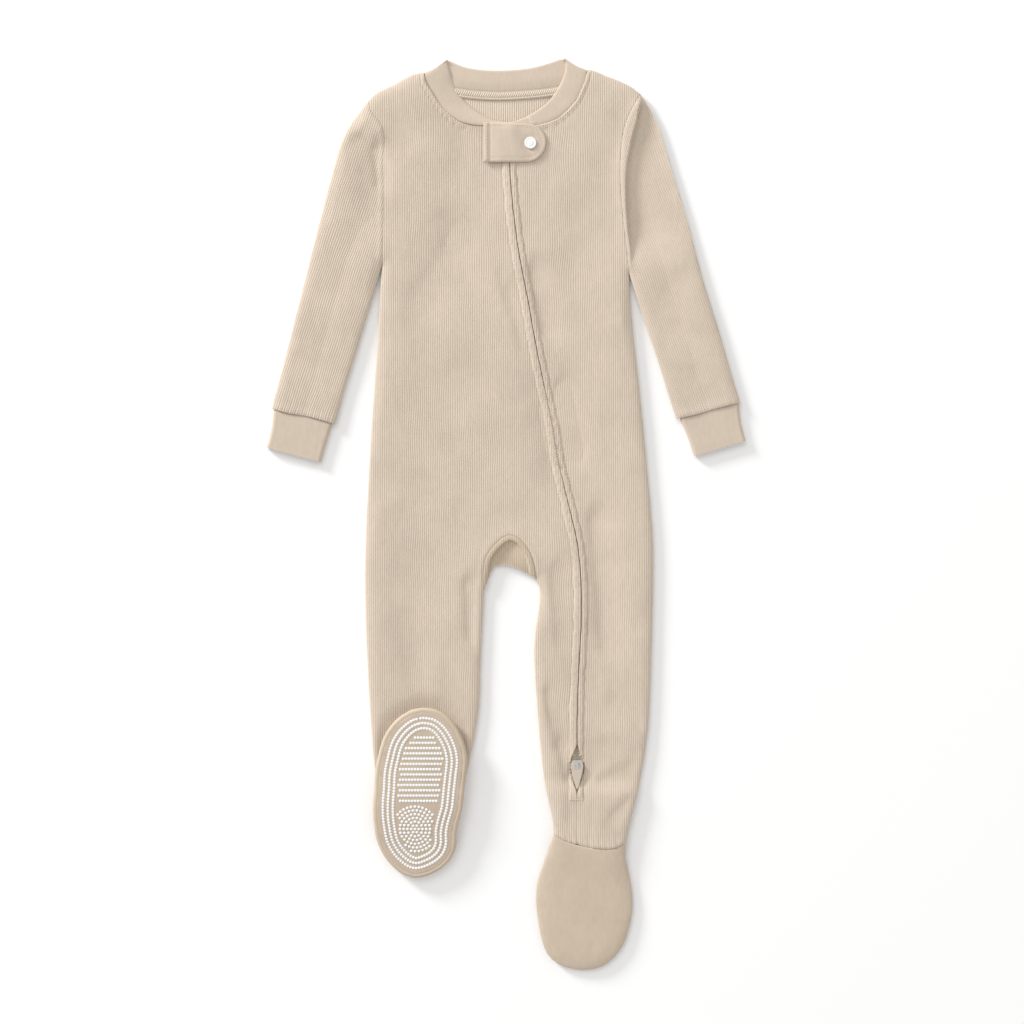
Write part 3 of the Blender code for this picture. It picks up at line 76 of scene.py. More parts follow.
# Seams and edges in plan, each from the neck or the shoulder downwards
CURVES = {
    "shoulder_right": [(-65.6, 352.2), (-74.5, 350.6), (-89.7, 342.5), (-105, 334.8), (-110.1, 330)],
    "outer_right": [(-110.1, 330), (-118.2, 319), (-125.4, 308.8), (-131.5, 296.6), (-135.6, 283.3),
        (-145.8, 245.5), (-161.4, 184.4), (-179.2, 114.3), (-187.6, 83)],
    "inner_right": [(-99.2, 198), (-105.3, 178), (-113, 152.6), (-121.8, 123.2), (-129.6, 98), (-137, 70.4)],
    "armhole_right": [(-110.1, 330), (-108, 321), (-103, 314.9), (-98.9, 309), (-97.3, 300.6), (-98.4, 284),
        (-97.9, 258), (-98.3, 226), (-99.2, 198)],
    "cuff_right": [(-187.6, 83), (-173, 79), (-160, 77), (-147, 73.6), (-137, 70.4)],
    "side_right": [(-99.2, 198), (-100.8, 174), (-102, 145), (-104, 116), (-106.5, 84), (-109.5, 34),
        (-111.5, -4), (-112.8, -46), (-111.8, -95), (-109, -152), (-106, -195), (-102.5, -230), (-98.5, -256)],
    "ankle_right": [(-98.5, -256), (-84, -257.4), (-70, -258), (-56, -257.4), (-41.5, -256)],
    "inseam_right": [(-17.6, -62), (-18.6, -78), (-19.6, -100), (-20.8, -124), (-21.6, -152), (-25.6, -181),
        (-30.5, -205), (-36, -232), (-41.5, -256)],
    "crotch_edge": [(-17.6, -62), (-15.6, -57), (-13.2, -50), (-9.6, -43), (-2.4, -41.6), (5.6, -43.6),
        (13.6, -46.8), (19.2, -49.6), (24.2, -53)],
    "crotch_seam": [(-17.6, -62), (-18.4, -54), (-17.8, -45), (-15.8, -35.4), (-9, -25.8), (2.4, -17.8),
        (11.6, -21.6), (15.8, -26.4), (19.4, -32.4), (21.8, -39), (24.2, -53)],
    "inseam_left": [(24.2, -53), (27, -61), (26.4, -76), (23.6, -95), (22.6, -108), (23.6, -135), (25.6, -162),
        (28, -191), (30.4, -212), (33.8, -230), (37.4, -247), (38.1, -256.4)],
    "side_left": [(98.4, 191.6), (99.1, 174), (101.4, 145), (104.6, 116.4), (107.7, 87.6), (110.6, 58.8),
        (113.2, 30), (115.8, 1), (117.5, -25), (117.6, -55), (116.8, -90), (115.2, -143), (113.6, -172),
        (111.2, -191), (108, -210), (104, -229), (99.2, -248), (95.8, -264)],
    "ankle_left": [(38.1, -256.4), (45.5, -261.7), (54.4, -264.8), (66.2, -267.6), (78.1, -268.8),
        (88.4, -268), (95.8, -264)],
    "shoulder_left": [(65, 354.2), (68.5, 354), (79, 349.6), (90.2, 345.5), (100.3, 340.4), (107.5, 334.8)],
    "outer_left": [(107.5, 334.8), (114.6, 324), (120.7, 311.8), (125.8, 296.6), (132, 276.2), (145.3, 232.4),
        (157.6, 186), (170.4, 145.2), (181.6, 106.8), (187.4, 87.6)],
    "inner_left": [(98.4, 191.6), (104, 174), (113.6, 145.2), (120.8, 124.5), (128.6, 99), (136.4, 74.8)],
    "armhole_left": [(107.5, 334.8), (102.4, 326.2), (97.3, 315.9), (94.2, 306.8), (92.4, 294), (91.2, 272),
        (92.2, 252), (94.4, 228), (96.8, 208), (98.4, 191.6)],
    "cuff_left": [(187.4, 87.6), (176.2, 85), (165, 82), (153.8, 78.6), (136.4, 74.8)],
    "zip": [(1.6, 312.8), (2.8, 279), (4.8, 252.4), (10.4, 207.6), (17.6, 170), (23.2, 138), (29.6, 106),
        (36.4, 74), (41.8, 42), (49.2, 10), (57.4, -26.8), (60.2, -60), (60.3, -85), (58.9, -113),
        (57.8, -136), (57, -166), (56.8, -190), (56.8, -267)],
    "neck_right": [(-65.6, 352.2), (-64.4, 344.5), (-59.6, 336.8), (-54, 328.2), (-49.4, 322.6),
        (-43.3, 317.4), (-36.2, 312.8), (-28, 310.6), (-14, 309.6), (1.6, 309.2)],
    "neck_left": [(65, 354.2), (62.9, 344.5), (59.8, 337.4), (55.8, 329.2), (49.7, 322.6), (39.9, 314.9),
        (27.2, 310.6), (14, 309.4), (1.6, 309.2)],
    "neck_back": [(-65.6, 352.2), (-53, 345.4), (-39.7, 340.4), (-24.1, 338.2), (-5.7, 337.4), (12.6, 338.2),
        (31, 339.9), (43, 342), (54, 346.6), (65, 354.2)],
    "free_right": [(-47.4, 363.3), (-45.6, 355), (-43, 347), (-40.2, 339.8), (-37, 334), (-31.8, 328.4),
        (-25.4, 323), (-17.8, 317.6), (-9.4, 313.8), (1.6, 312.6)],
    "free_left": [(46.6, 364.4), (48, 360), (47.4, 353), (44.6, 345.5), (39.6, 336.6), (32.6, 327.6),
        (25.8, 322.6), (15, 316.2), (7, 313.2), (1.6, 312.6)],
    "free_back": [(-47.4, 363.3), (-42.4, 360.6), (-33.3, 357), (-24.1, 355.2), (-10.4, 354.2), (3.5, 354.5),
        (17.3, 355.9), (26.4, 357.8), (35.6, 360.6), (46.6, 364.4)],
    "cuff_outer_right": [(-186.2, 82), (-187.4, 70), (-189, 62), (-192, 52)],
    "cuff_inner_right": [(-139.5, 70.6), (-143, 58.4), (-145.6, 50.8), (-148.2, 40.2)],
    "cuff_outer_left": [(186.4, 87.4), (187.4, 75.3), (189.6, 65.2), (191.9, 57.2)],
    "cuff_inner_left": [(139, 75.4), (143.7, 65.2), (147, 56.4), (150.4, 45.2)],
    "foot_left": [(38.1, -256.4), (35.1, -266.8), (29.2, -283.2), (24.9, -298), (24, -310), (25.4, -324.4),
        (28.4, -340.9), (32.6, -352.6), (41, -360.9), (54.4, -365.4), (66.2, -366), (77, -363.4), (87, -355.6),
        (94.3, -345), (98.8, -330.5), (101.2, -314.2), (100.2, -300), (97.3, -285), (95.3, -274), (95.8, -264)],
    "heel_left": [(95.6, -266), (91, -246), (83, -233), (67, -227), (52, -233), (43, -246), (38.4, -258)],
    "foot_right": [(-67, -155.6), (-56.2, -157), (-47.7, -161.6), (-40.2, -169.8), (-34.8, -179.6),
        (-31.6, -189.4), (-30.6, -198.5), (-31.8, -210), (-33.4, -224), (-35, -238), (-38.4, -250),
        (-39.6, -257), (-39.4, -264), (-40.8, -271), (-44.6, -278.4), (-50.6, -284.2), (-58.4, -288.8),
        (-67, -291.9), (-73.4, -292.6), (-81.9, -289.8), (-90.5, -283.4), (-98, -274.4), (-102.4, -265.2),
        (-104.8, -254), (-106.1, -243), (-106.2, -232), (-105.2, -219.1), (-104.5, -206.3), (-101.9, -193.4),
        (-98, -180), (-91.8, -169.8), (-84.1, -162.3), (-76.6, -157.8), (-67, -155.6)],
}
CLOSED_EDGES = ("shoulder_right", "outer_right", "inner_right", "side_right", "inseam_right",
                "crotch_edge", "inseam_left", "side_left", "shoulder_left", "outer_left", "inner_left")
TUCK_EDGE = [(108.3, 333), (103.6, 312), (99.6, 296), (96.6, 283.3), (95.2, 268), (95.6, 248),
             (97, 227), (99.2, 208), (99.4, 194)]
TUCK_DROP = 4.3
TUCK_FLOOR = 13.0           # the sleeve rises again from this far beyond the edge
TUCK_RISE = 1.1
DEEPEST = 2.6               # folds are pressed at most this far into the fronts
ZIP_GAP = [(-186, 0), (-192, 2.2), (-198, 5.4), (-203, 6.2), (-206, 5.5), (-209, 4.8),
           (-215, 3.1), (-221, 1.2), (-225, 0)]
ZIP_END = -232.0

# Folds, each a ridge or trough: from x, y to x, y in plan, half its width, its height
FAR_SIDE = (0.74, -0.67)    # folds fall steeply on one side and rise gently on this one
FOLDS = [
    (-30, 298, -40, 216, 17, -1.7), (-37, 222, -70, 172, 12, -1.1), (-68, 216, -48, 236, 9, -0.4),
    (-90, 262, -66, 286, 12, 0.5), (-4, 190, 4, 160, 4.5, -0.6), (4, 176, 14, 132, 5, -0.8),
    (22, 192, 32, 146, 6, -1.8), (45, 98, 53.5, 52, 6.5, -1.8), (30, 82, 38, 44, 6, -0.9),
    (30, 94, 42, 26, 16, -2.1), (52, 40, 66, 4, 7, -0.5), (-66, 96, -20, 118, 14, -0.5),
    (-86, 90, -70, 40, 14, 0.5), (-40, 55, 12, 62, 11, -0.5), (-106, 36, -76, 24, 8, -0.7),
    (-96, 4, -60, 16, 9, 0.4), (60, 232, 78, 204, 11, -0.6), (70, 176, 88, 150, 10, 0.5),
    (84, 66, 94, 16, 10, -0.6), (40, 258, 26, 214, 9, 0.4), (-60, -38, -34, -58, 11, -0.5),
    (-30.4, -58, -28.6, -98, 5, -1.4), (-44, -112, -48, -150, 8, -0.6), (-88, -58, -76, -116, 11, -0.6),
    (-64, -86, -58, -132, 9, 0.45), (72, -8, 80.5, -106, 8, -2.1), (41, -48, 44, -104, 6.5, -1.1),
    (31, -62, 32, -84, 5, 0.4), (33.4, -146, 43, -186, 5, -1.5), (43, -186, 50.5, -212, 4.6, -1.5),
    (51, -214, 52, -244, 5, -0.8), (88, -150, 109, -172, 6, -1.1), (80, -186, 103, -194, 6, -0.9),
    (78, -214, 98, -204, 5, -0.9), (86, -242, 99, -230, 4.5, -1), (68, -236, 74, -212, 6, 0.5),
    (-115.5, 298.5, -105, 291, 5, -1.7), (-104, 290, -101.5, 264, 4.4, -1.4), (-118, 316, -103, 305, 5, 1.2),
    (-112, 268, -108, 244, 8, -0.7), (-132, 232, -118, 190, 10, 0.6), (-150, 152, -128, 140, 8, -0.6),
    (-166, 122, -142, 112, 7, -0.5), (124, 130, 130, 92, 6, -0.5), (150, 196, 132, 176, 9, -0.6),
    (138, 148, 152, 140, 6, -0.6), (152, 112, 168, 102, 6, -0.6),
]

FLAP = {"left": -18.0, "right": 32.2, "top": 312.2, "bottom": 280.2}
SNAP_AT = (19.6, 295.4)
FOOT_STRIP = 3.4            # upper that shows round the folded foot's sole
FOOT_TOE_TOP = 12.4
FOOT_HEEL_TOP = 8.6
PANEL_AWAY = 5.0            # metres from the middle to the low light
VIEW_CENTRE = (4.8, 0.4)    # plan point in the middle of the picture
VIEW_WIDTH = 0.8192         # metres across the picture


# Plan curves

def travelled(curve):
    """Length of a curve up to each of its points."""
    return np.concatenate([[0.0], np.cumsum(np.linalg.norm(np.diff(curve, axis=0), axis=1))])


def smooth(points, step=6.0):
    """Points about a step apart on a smooth curve through the given ones."""
    knots = np.array(points, dtype=float)
    lengths = np.linalg.norm(np.diff(knots, axis=0), axis=1)
    slopes = np.gradient(knots, travelled(knots), axis=0)
    curve = []
    for i, length in enumerate(lengths):
        count = max(1, round(length / step))
        for t in np.arange(count) / count:
            curve.append(
                (2 * t**3 - 3 * t**2 + 1) * knots[i] + (t**3 - 2 * t**2 + t) * length * slopes[i]
                + (3 * t**2 - 2 * t**3) * knots[i + 1] + (t**3 - t**2) * length * slopes[i + 1])
    curve.append(knots[-1])
    return np.array(curve)


def join(*curves):
    """One closed outline from curves that follow each other."""
    points = []
    for curve in curves:
        for point in curve:
            if not points or np.linalg.norm(point - points[-1]) > 0.05:
                points.append(point)
    if np.linalg.norm(points[0] - points[-1]) <= 0.05:
        points.pop()
    points = np.array(points)
    x, y = points[:, 0], points[:, 1]
    return points if np.sum(x * np.roll(y, -1) - np.roll(x, -1) * y) > 0 else points[::-1]


def unit(vectors):
    return vectors / np.linalg.norm(vectors, axis=1)[:, None]


def left_of(directions):
    """The directions turned a quarter to their left."""
    return np.stack([-directions[:, 1], directions[:, 0]], axis=1)


def inset(outline, distance=SEAM):
    """The outline moved inwards by a distance, square to its sides."""
    before = unit(outline - np.roll(outline, 1, axis=0))
    after = unit(np.roll(outline, -1, axis=0) - outline)
    normals = unit(left_of(before + after))
    turn = np.clip(np.abs((normals * left_of(after)).sum(axis=1)), 0.4, 1.0)
    return outline + normals * (distance / turn)[:, None]


def closed(outline):
    return np.vstack([outline, outline[:1]])


def ring(outline, distance):
    """A closed line inside the outline."""
    return closed(inset(outline, distance))


def rings(outline, *distances):
    return [ring(outline, distance) for distance in distances]


def walk(curve, lengths):
    """Points at the given lengths along a curve."""
    at = travelled(curve)
    return np.stack([np.interp(lengths, at, curve[:, axis]) for axis in (0, 1)], axis=-1)


def along(curve, fraction):
    """The point at a fraction of a curve's length."""
    return walk(curve, fraction * travelled(curve)[-1])


def evenly(curve, step):
    """Points a step apart on a curve, and the curve's direction at each."""
    stations = np.arange(step / 2, travelled(curve)[-1], step)
    return walk(curve, stations), unit(walk(curve, stations + 0.3) - walk(curve, stations - 0.3))


def beside(curve, distance):
    """The curve moved sideways, to its left for a positive distance."""
    return curve + left_of(unit(np.gradient(curve, axis=0))) * distance


def distance_to(curve, points):
    """Distance of each point from a curve."""
    nearest = np.full(len(points), np.inf)
    for start, end in zip(curve[:-1], curve[1:]):
        side = end - start
        t = np.clip(((points - start) @ side) / (side @ side), 0, 1)
        away = points - start - t[:, None] * side
        nearest = np.minimum(nearest, (away**2).sum(axis=1))
    return np.sqrt(nearest)


def inside_of(outline, points):
    """Whether each point lies inside an outline."""
    x, y = points.T
    inside = np.zeros(len(points), dtype=bool)
    for (x0, y0), (x1, y1) in zip(outline, np.roll(outline, -1, axis=0)):
        crosses = (y0 > y) != (y1 > y)
        with np.errstate(divide="ignore", invalid="ignore"):
            at = x0 + (y - y0) * (x1 - x0) / (y1 - y0)
        inside ^= crosses & (x < at)
    return inside


def ease(value):
    """A soft step from 0 to 1."""
    t = np.clip(value, 0.0, 1.0)
    return t * t * (3 - 2 * t)


def hump(value):
    """A soft ridge, 1 in its middle."""
    return np.exp(-value**2)


def quarter(value):
    """Height of a quarter circle, 0 at its rim and 1 from one radius inwards."""
    return np.sqrt(1 - (1 - np.clip(value, 0.0, 1.0))**2)


def ripple(values, seed, period):
    """A smooth uneven wave from -1 to 1 along the values."""
    phases = np.random.default_rng(seed).uniform(0, 2 * math.pi, 4)
    shares = (1.0, 0.63, 0.37, 0.23)
    waves = [share * np.sin(2 * math.pi * values / (period * (0.55 + 0.4 * k)) + phase)
             for k, (share, phase) in enumerate(zip(shares, phases))]
    return np.sum(waves, axis=0) / 1.6


SEAMS = {name: smooth(points) for name, points in CURVES.items()}
SLEEVE_TUCK = smooth(TUCK_EDGE, 4.0)


def zip_x(y):
    line = SEAMS["zip"][::-1]
    return np.interp(y, line[:, 1], line[:, 0])


# Height of the cloth

def foot_distance(points):
    """Distance outside the folded foot, which presses the leg down round it."""
    outline = join(SEAMS["foot_right"])
    return np.where(inside_of(outline, points), 0.0, distance_to(closed(outline), points))


def folds(points):
    total = -2.0 * hump(foot_distance(points) / 7.5) * ease((points[:, 1] + 262) / 10)
    for from_x, from_y, to_x, to_y, half_width, height in FOLDS:
        line = np.array([(from_x, from_y), (to_x, to_y)], dtype=float)
        side = line[1] - line[0]
        normal = np.array([side[1], -side[0]]) / np.linalg.norm(side)
        across = (points - line[0]) @ (normal * np.sign(normal @ FAR_SIDE)) / half_width
        away = distance_to(line, points) / (half_width * (1 + 1.1 * ease((across + 1) / 2)))
        total += height * hump(away)
    return total


def soft_waves(points):
    """Slight unevenness of cloth that lies loosely, longer down the suit than across it."""
    x, y = points.T
    lean = x + 0.16 * y
    return (0.36 * ripple(lean, 3, 84.0) * ripple(y, 4, 150.0)
            + 0.08 * ripple(x - 0.5 * y, 5, 60.0) * ripple(y + 0.5 * x, 6, 100.0)
            + 0.05 * ripple(x + 0.5 * y, 7, 21.0) * ripple(y - x, 8, 50.0))


def sway(points, rim):
    """The cloth's points moved a little sideways, so that its ribs aren't ruled lines."""
    x, y = points[:, 0], points[:, 1]
    moved = 0.8 * ripple(y + 0.2 * x, 91, 90.0) * ripple(x, 92, 70.0) * ease(distance_to(rim, points[:, :2]) / 9)
    return points + np.column_stack([moved, np.zeros((len(points), 2))])


def tuck(points):
    """Drop of the left sleeve beyond the edge of its tuck."""
    edge = SLEEVE_TUCK[::-1]
    x, y = points.T
    beyond = x - np.interp(y, edge[:, 1], edge[:, 0])
    ends = ease((y - edge[0, 1]) / 40) * ease((edge[-1, 1] - y) / 10)
    drop = ease(beyond / 1.8) * (1 - 0.42 * ease((beyond - TUCK_FLOOR) / 36))
    rise = TUCK_RISE * hump(np.minimum(beyond, 0) / 7.0) * (1 - ease(beyond / 1.8)) * (beyond > -25)
    return np.where((y > edge[0, 1]) & (y < edge[-1, 1]), (rise - TUCK_DROP * drop) * ends, 0.0)


def welt_width(y, side):
    """Width of one front's stitched edge beside the zip."""
    seed, period = {"right": (11, 26.0), "left": (12, 22.0)}[side]
    return WELT[side] + 0.4 * ripple(y, seed, period)


def welt(points):
    """The doubled, topstitched edges beside the zip."""
    x, y = points.T
    away = x - zip_x(y)
    width = np.where(away < 0, welt_width(y, "right"), welt_width(y, "left"))
    inside = np.clip(1 - np.abs(away) / width, 0, 1)
    rise = WELT_RISE * quarter(inside * 2.2) * (0.85 + 0.25 * ripple(y + away, 13, 14.0))
    groove = -np.where(away < 0, 0.3, 0.55) * hump((np.abs(away) - width) / 0.8)
    return np.where(y < CURVES["zip"][0][1], (rise + groove) * ease((y - ZIP_END) / 4), 0.0)


def crotch_roll(points):
    """The front's bulging edge over the crotch."""
    away = distance_to(SEAMS["crotch_seam"][1:-1], points)
    return 0.25 * hump((away - 2.5) / 2.0)


def neck_allowance(points):
    """The seam allowance under the cloth beside the neckband, held down by a row of stitches."""
    away = np.minimum(distance_to(SEAMS["neck_right"], points), distance_to(SEAMS["neck_left"], points))
    return 0.34 * hump((away - 1.8) / 1.2) - 0.34 * hump((away - 3.8) / 0.7)


def ankle_gathers(points):
    """Small puckers beside the left ankle's seam."""
    away = distance_to(SEAMS["ankle_left"], points)
    along_x = points[:, 0] + 0.2 * (points[:, 1] + 260)
    return 0.16 * ripple(along_x, 17, 8.0) * hump(away / 9.0) + 0.45 * hump((away - 2.2) / 1.8)


def lift(points):
    """Rise of the left ankle over its heel."""
    start, end = HEEL_LIFT_SPAN
    return np.where(points[:, 0] > 20, HEEL_LIFT * ease((start - points[:, 1]) / (start - end)), 0.0)


def edge_distance(points):
    """Distance of each point from where front and back meet."""
    return np.min([distance_to(SEAMS[name], points) for name in CLOSED_EDGES], axis=0)


def front_level(points):
    """The front's outer face without its ribs and details."""
    away = edge_distance(points)
    start, end = SAG_WIDTH
    rise = EDGE_STEP + (FRONT_RISE - EDGE_STEP) * quarter(away / EDGE_ROUND)
    sag = SAG * ease((away - start) / (end - start))
    pressed = np.maximum(folds(points) + soft_waves(points), -DEEPEST)
    pressed = pressed * ease(away / EDGE_ROUND) + tuck(points) * quarter(away / EDGE_ROUND)
    return SIDE_SEAM + lift(points) + rise - sag + pressed


def inner_bend(away):
    """How far cloth has bent in from its seam, inside its thickness."""
    return quarter((away - CLOTH) / (EDGE_ROUND - CLOTH))


def back_inner(points):
    seam = SIDE_SEAM - GAP / 2
    return seam + (CLOTH - seam) * inner_bend(edge_distance(points)) + lift(points)


def back_outer(points):
    bend = quarter(edge_distance(points) / EDGE_ROUND)
    return (SIDE_SEAM - EDGE_STEP) * (1 - bend) + lift(points)


def ribs(across):
    """Rounded ribs a pitch apart."""
    return RIB_HEIGHT * np.sqrt(np.abs(np.sin(math.pi * across / RIB_PITCH)))


def rolled(rim, points, depth=0.25, width=1.5):
    """Drop of a piece towards its own sewn edge."""
    return -depth * (1 - quarter(distance_to(rim, points) / width))


def around(*names):
    """One closed outline from seams, each run backwards where its name follows a minus."""
    return join(*(SEAMS[name.strip("-")][::-1 if name[0] == "-" else 1] for name in names))


# Meshes

def patch(outline, lines):
    """Triangles that fill an outline and follow the lines across it: points, triangles, border."""
    points = [Vector(point) for point in outline]
    face = list(range(len(points)))
    edges = []
    for line in lines:
        first = len(points)
        points += [Vector(point) for point in line]
        edges += [(first + i, first + i + 1) for i in range(len(line) - 1)]
    found, _, triangles, _, _, faces = delaunay_2d_cdt(points, edges, [face], 0, 0.01)
    kept = np.array([tuple(triangle) for triangle, origin in zip(triangles, faces) if origin])
    used, kept = np.unique(kept, return_inverse=True)
    kept = kept.reshape(-1, 3)
    plan = np.array([found[i][:2] for i in used])
    sides = {(int(t[i]), int(t[(i + 1) % 3])) for t in kept for i in range(3)}
    following = {a: b for a, b in sides if (b, a) not in sides}
    start = min(following, key=lambda i: np.linalg.norm(plan[i] - outline[0]))
    border = [start]
    while following[border[-1]] != start:
        border.append(following[border[-1]])
    return plan, kept, border


def stitch(first, second, at_first, at_second):
    """Triangles between two rows of vertices, paired by where each lies along its row."""
    faces = []
    i = j = 0
    while i < len(first) - 1 or j < len(second) - 1:
        to_first = abs(at_first[i + 1] - at_second[j]) if i < len(first) - 1 else math.inf
        to_second = abs(at_second[j + 1] - at_first[i]) if j < len(second) - 1 else math.inf
        if to_first <= to_second:
            faces.append((first[i], first[i + 1], second[j]))
            i += 1
        else:
            faces.append((first[i], second[j + 1], second[j]))
            j += 1
    return faces


def shares(plan, row):
    """How far along its row each vertex lies, from 0 to 1."""
    at = travelled(plan[list(row)])
    return at / at[-1]


def turned_by(angle):
    c, s = math.cos(angle), math.sin(angle)
    return np.array([[c, -s], [s, c]])


def lattice(outline, across, down, turn=0.0):
    """Lines across an outline: columns at multiples of one step, rows of another, turned."""
    local, back = outline @ turned_by(turn), turned_by(turn).T
    (x0, y0), (x1, y1) = local.min(axis=0) - 3, local.max(axis=0) + 3
    lines = []
    if across:
        for k in range(math.ceil(x0 / across), math.floor(x1 / across) + 1):
            lines.append(np.array([(k * across, y0), (k * across, y1)]) @ back)
    if down:
        for k in range(math.ceil(y0 / down), math.floor(y1 / down) + 1):
            lines.append(np.array([(x0, k * down), (x1, k * down)]) @ back)
    return lines


def add_object(name, data):
    made = bpy.data.objects.new(name, data)
    bpy.context.scene.collection.objects.link(made)
    return made


def piece(name, points, faces, kind, slot, nodes=(), uv=None, calm=35):
    """A shown piece from points in millimetres, riding on the garment and standing for CAD nodes."""
    mesh = bpy.data.meshes.new(name)
    place = (np.asarray(points, dtype=float) - (*MIDDLE, 0.0)) * MM
    mesh.from_pydata(place.tolist(), [], [tuple(int(i) for i in face) for face in faces])
    shape = bmesh.new()
    shape.from_mesh(mesh)
    bmesh.ops.recalc_face_normals(shape, faces=shape.faces)
    shape.to_mesh(mesh)
    shape.free()
    mesh.shade_smooth()
    mesh.set_sharp_from_angle(angle=math.radians(calm))
    if uv is not None:
        layer = mesh.uv_layers.new(name="knit")
        corners = np.empty(len(mesh.loops), dtype=np.int32)
        mesh.loops.foreach_get("vertex_index", corners)
        layer.data.foreach_set("uv", np.asarray(uv, dtype=np.float32)[corners].ravel())
    mesh.materials.append(kind)
    made = add_object(name, mesh)
    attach(made, "garment")
    if nodes:
        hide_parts(*nodes)
    return made


def knit_uv(points, stitch_size=JERSEY_KNIT):
    """Knit coordinates of points: wales across, stitches down."""
    return points[:, :2] / stitch_size


def cloth(name, points, faces, kind, slot, node, flat, area, rests_on, held="laid", uv=None, calm=35):
    """A piece of cloth with its knit coordinates."""
    made = piece(name, points, faces, kind, slot, [node], knit_uv(points) if uv is None else uv, calm)
    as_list(rests_on)
    return made


def ring_faces(rows, count, first=0):
    """Quads between rows of points that each close on themselves."""
    return [(first + j * count + k, first + j * count + (k + 1) % count,
             first + (j + 1) * count + (k + 1) % count, first + (j + 1) * count + k)
            for j in range(rows - 1) for k in range(count)]


def caps(rows, count, first=0):
    """Faces that close the first and the last of such rows."""
    last = first + (rows - 1) * count
    return [tuple(range(first, first + count)), tuple(range(last, last + count))]


def two_faces(outline, top, bottom, top_lines, bottom_lines):
    """Upper and lower faces of one outline, their borders, and what joins rows of vertices."""
    upper, upper_faces, upper_rim = patch(outline, top_lines)
    lower, lower_faces, lower_rim = patch(outline, bottom_lines)
    points = np.vstack([np.column_stack([upper, top(upper)]), np.column_stack([lower, bottom(lower)])])
    shift = len(upper)
    faces = [*map(tuple, upper_faces), *map(tuple, lower_faces + shift)]

    def joined(first, second):
        return stitch(first, [shift + i for i in second], shares(upper, first), shares(lower, second))

    return points, faces, (upper, upper_rim), (lower, lower_rim), joined


def shell(outline, top, bottom, top_lines=(), bottom_lines=()):
    """One layer of cloth between the heights of its upper and lower faces: points and faces."""
    points, faces, (_, upper_rim), (_, lower_rim), joined = two_faces(
        outline, top, bottom, top_lines, bottom_lines)
    return points, faces + joined(upper_rim + upper_rim[:1], lower_rim + lower_rim[:1])


def together(*parts):
    """Several sets of points and faces as one."""
    points, faces, shift = [], [], 0
    for some_points, some_faces in parts:
        points.append(np.asarray(some_points))
        faces += [tuple(i + shift for i in face) for face in some_faces]
        shift += len(some_points)
    return np.vstack(points), faces


# Materials

class Nodes:
    """Short names for building one material's nodes."""

    def __init__(self, name, colour, roughness, metallic=0.0):
        self.material = bpy.data.materials.new(name)
        self.material.use_nodes = True
        self.tree = self.material.node_tree
        self.shader = self.tree.nodes["Principled BSDF"]
        self.set(self.shader, **{"Base Color": (*colour, 1.0), "Roughness": roughness, "Metallic": metallic})

    def feed(self, socket, value):
        if hasattr(value, "is_output"):
            self.tree.links.new(value, socket)
        else:
            socket.default_value = value

    def set(self, node, **values):
        for key, value in values.items():
            self.feed(node.inputs[key], value)
        return node

    def add(self, kind, **values):
        return self.set(self.tree.nodes.new("ShaderNode" + kind), **values)

    def math(self, operation, *values):
        node = self.add("Math")
        node.operation = operation
        for socket, value in zip(node.inputs, values):
            self.feed(socket, value)
        return node.outputs[0]

    def mix(self, factor, first, second):
        node = self.add("Mix")
        node.data_type = "RGBA"
        for at, value in ((0, factor), (6, first), (7, second)):
            self.feed(node.inputs[at], value)
        return node.outputs[2]

    def noise(self, scale, detail=2.0, vector=None):
        where = vector or self.add("TexCoord").outputs["Object"]
        return self.add("TexNoise", Vector=where, Scale=scale, Detail=detail).outputs["Fac"]

    def bump(self, height, distance, strength=1.0):
        node = self.add("Bump", Height=height, Distance=distance, Strength=strength)
        self.feed(self.shader.inputs["Normal"], node.outputs[0])

    def sheen(self, weight, roughness=0.6):
        self.set(self.shader, **{"Sheen Weight": weight, "Sheen Roughness": roughness, "Specular IOR Level": 0.15})


def scaled(colour, factor):
    return (*(c * factor for c in colour), 1.0)


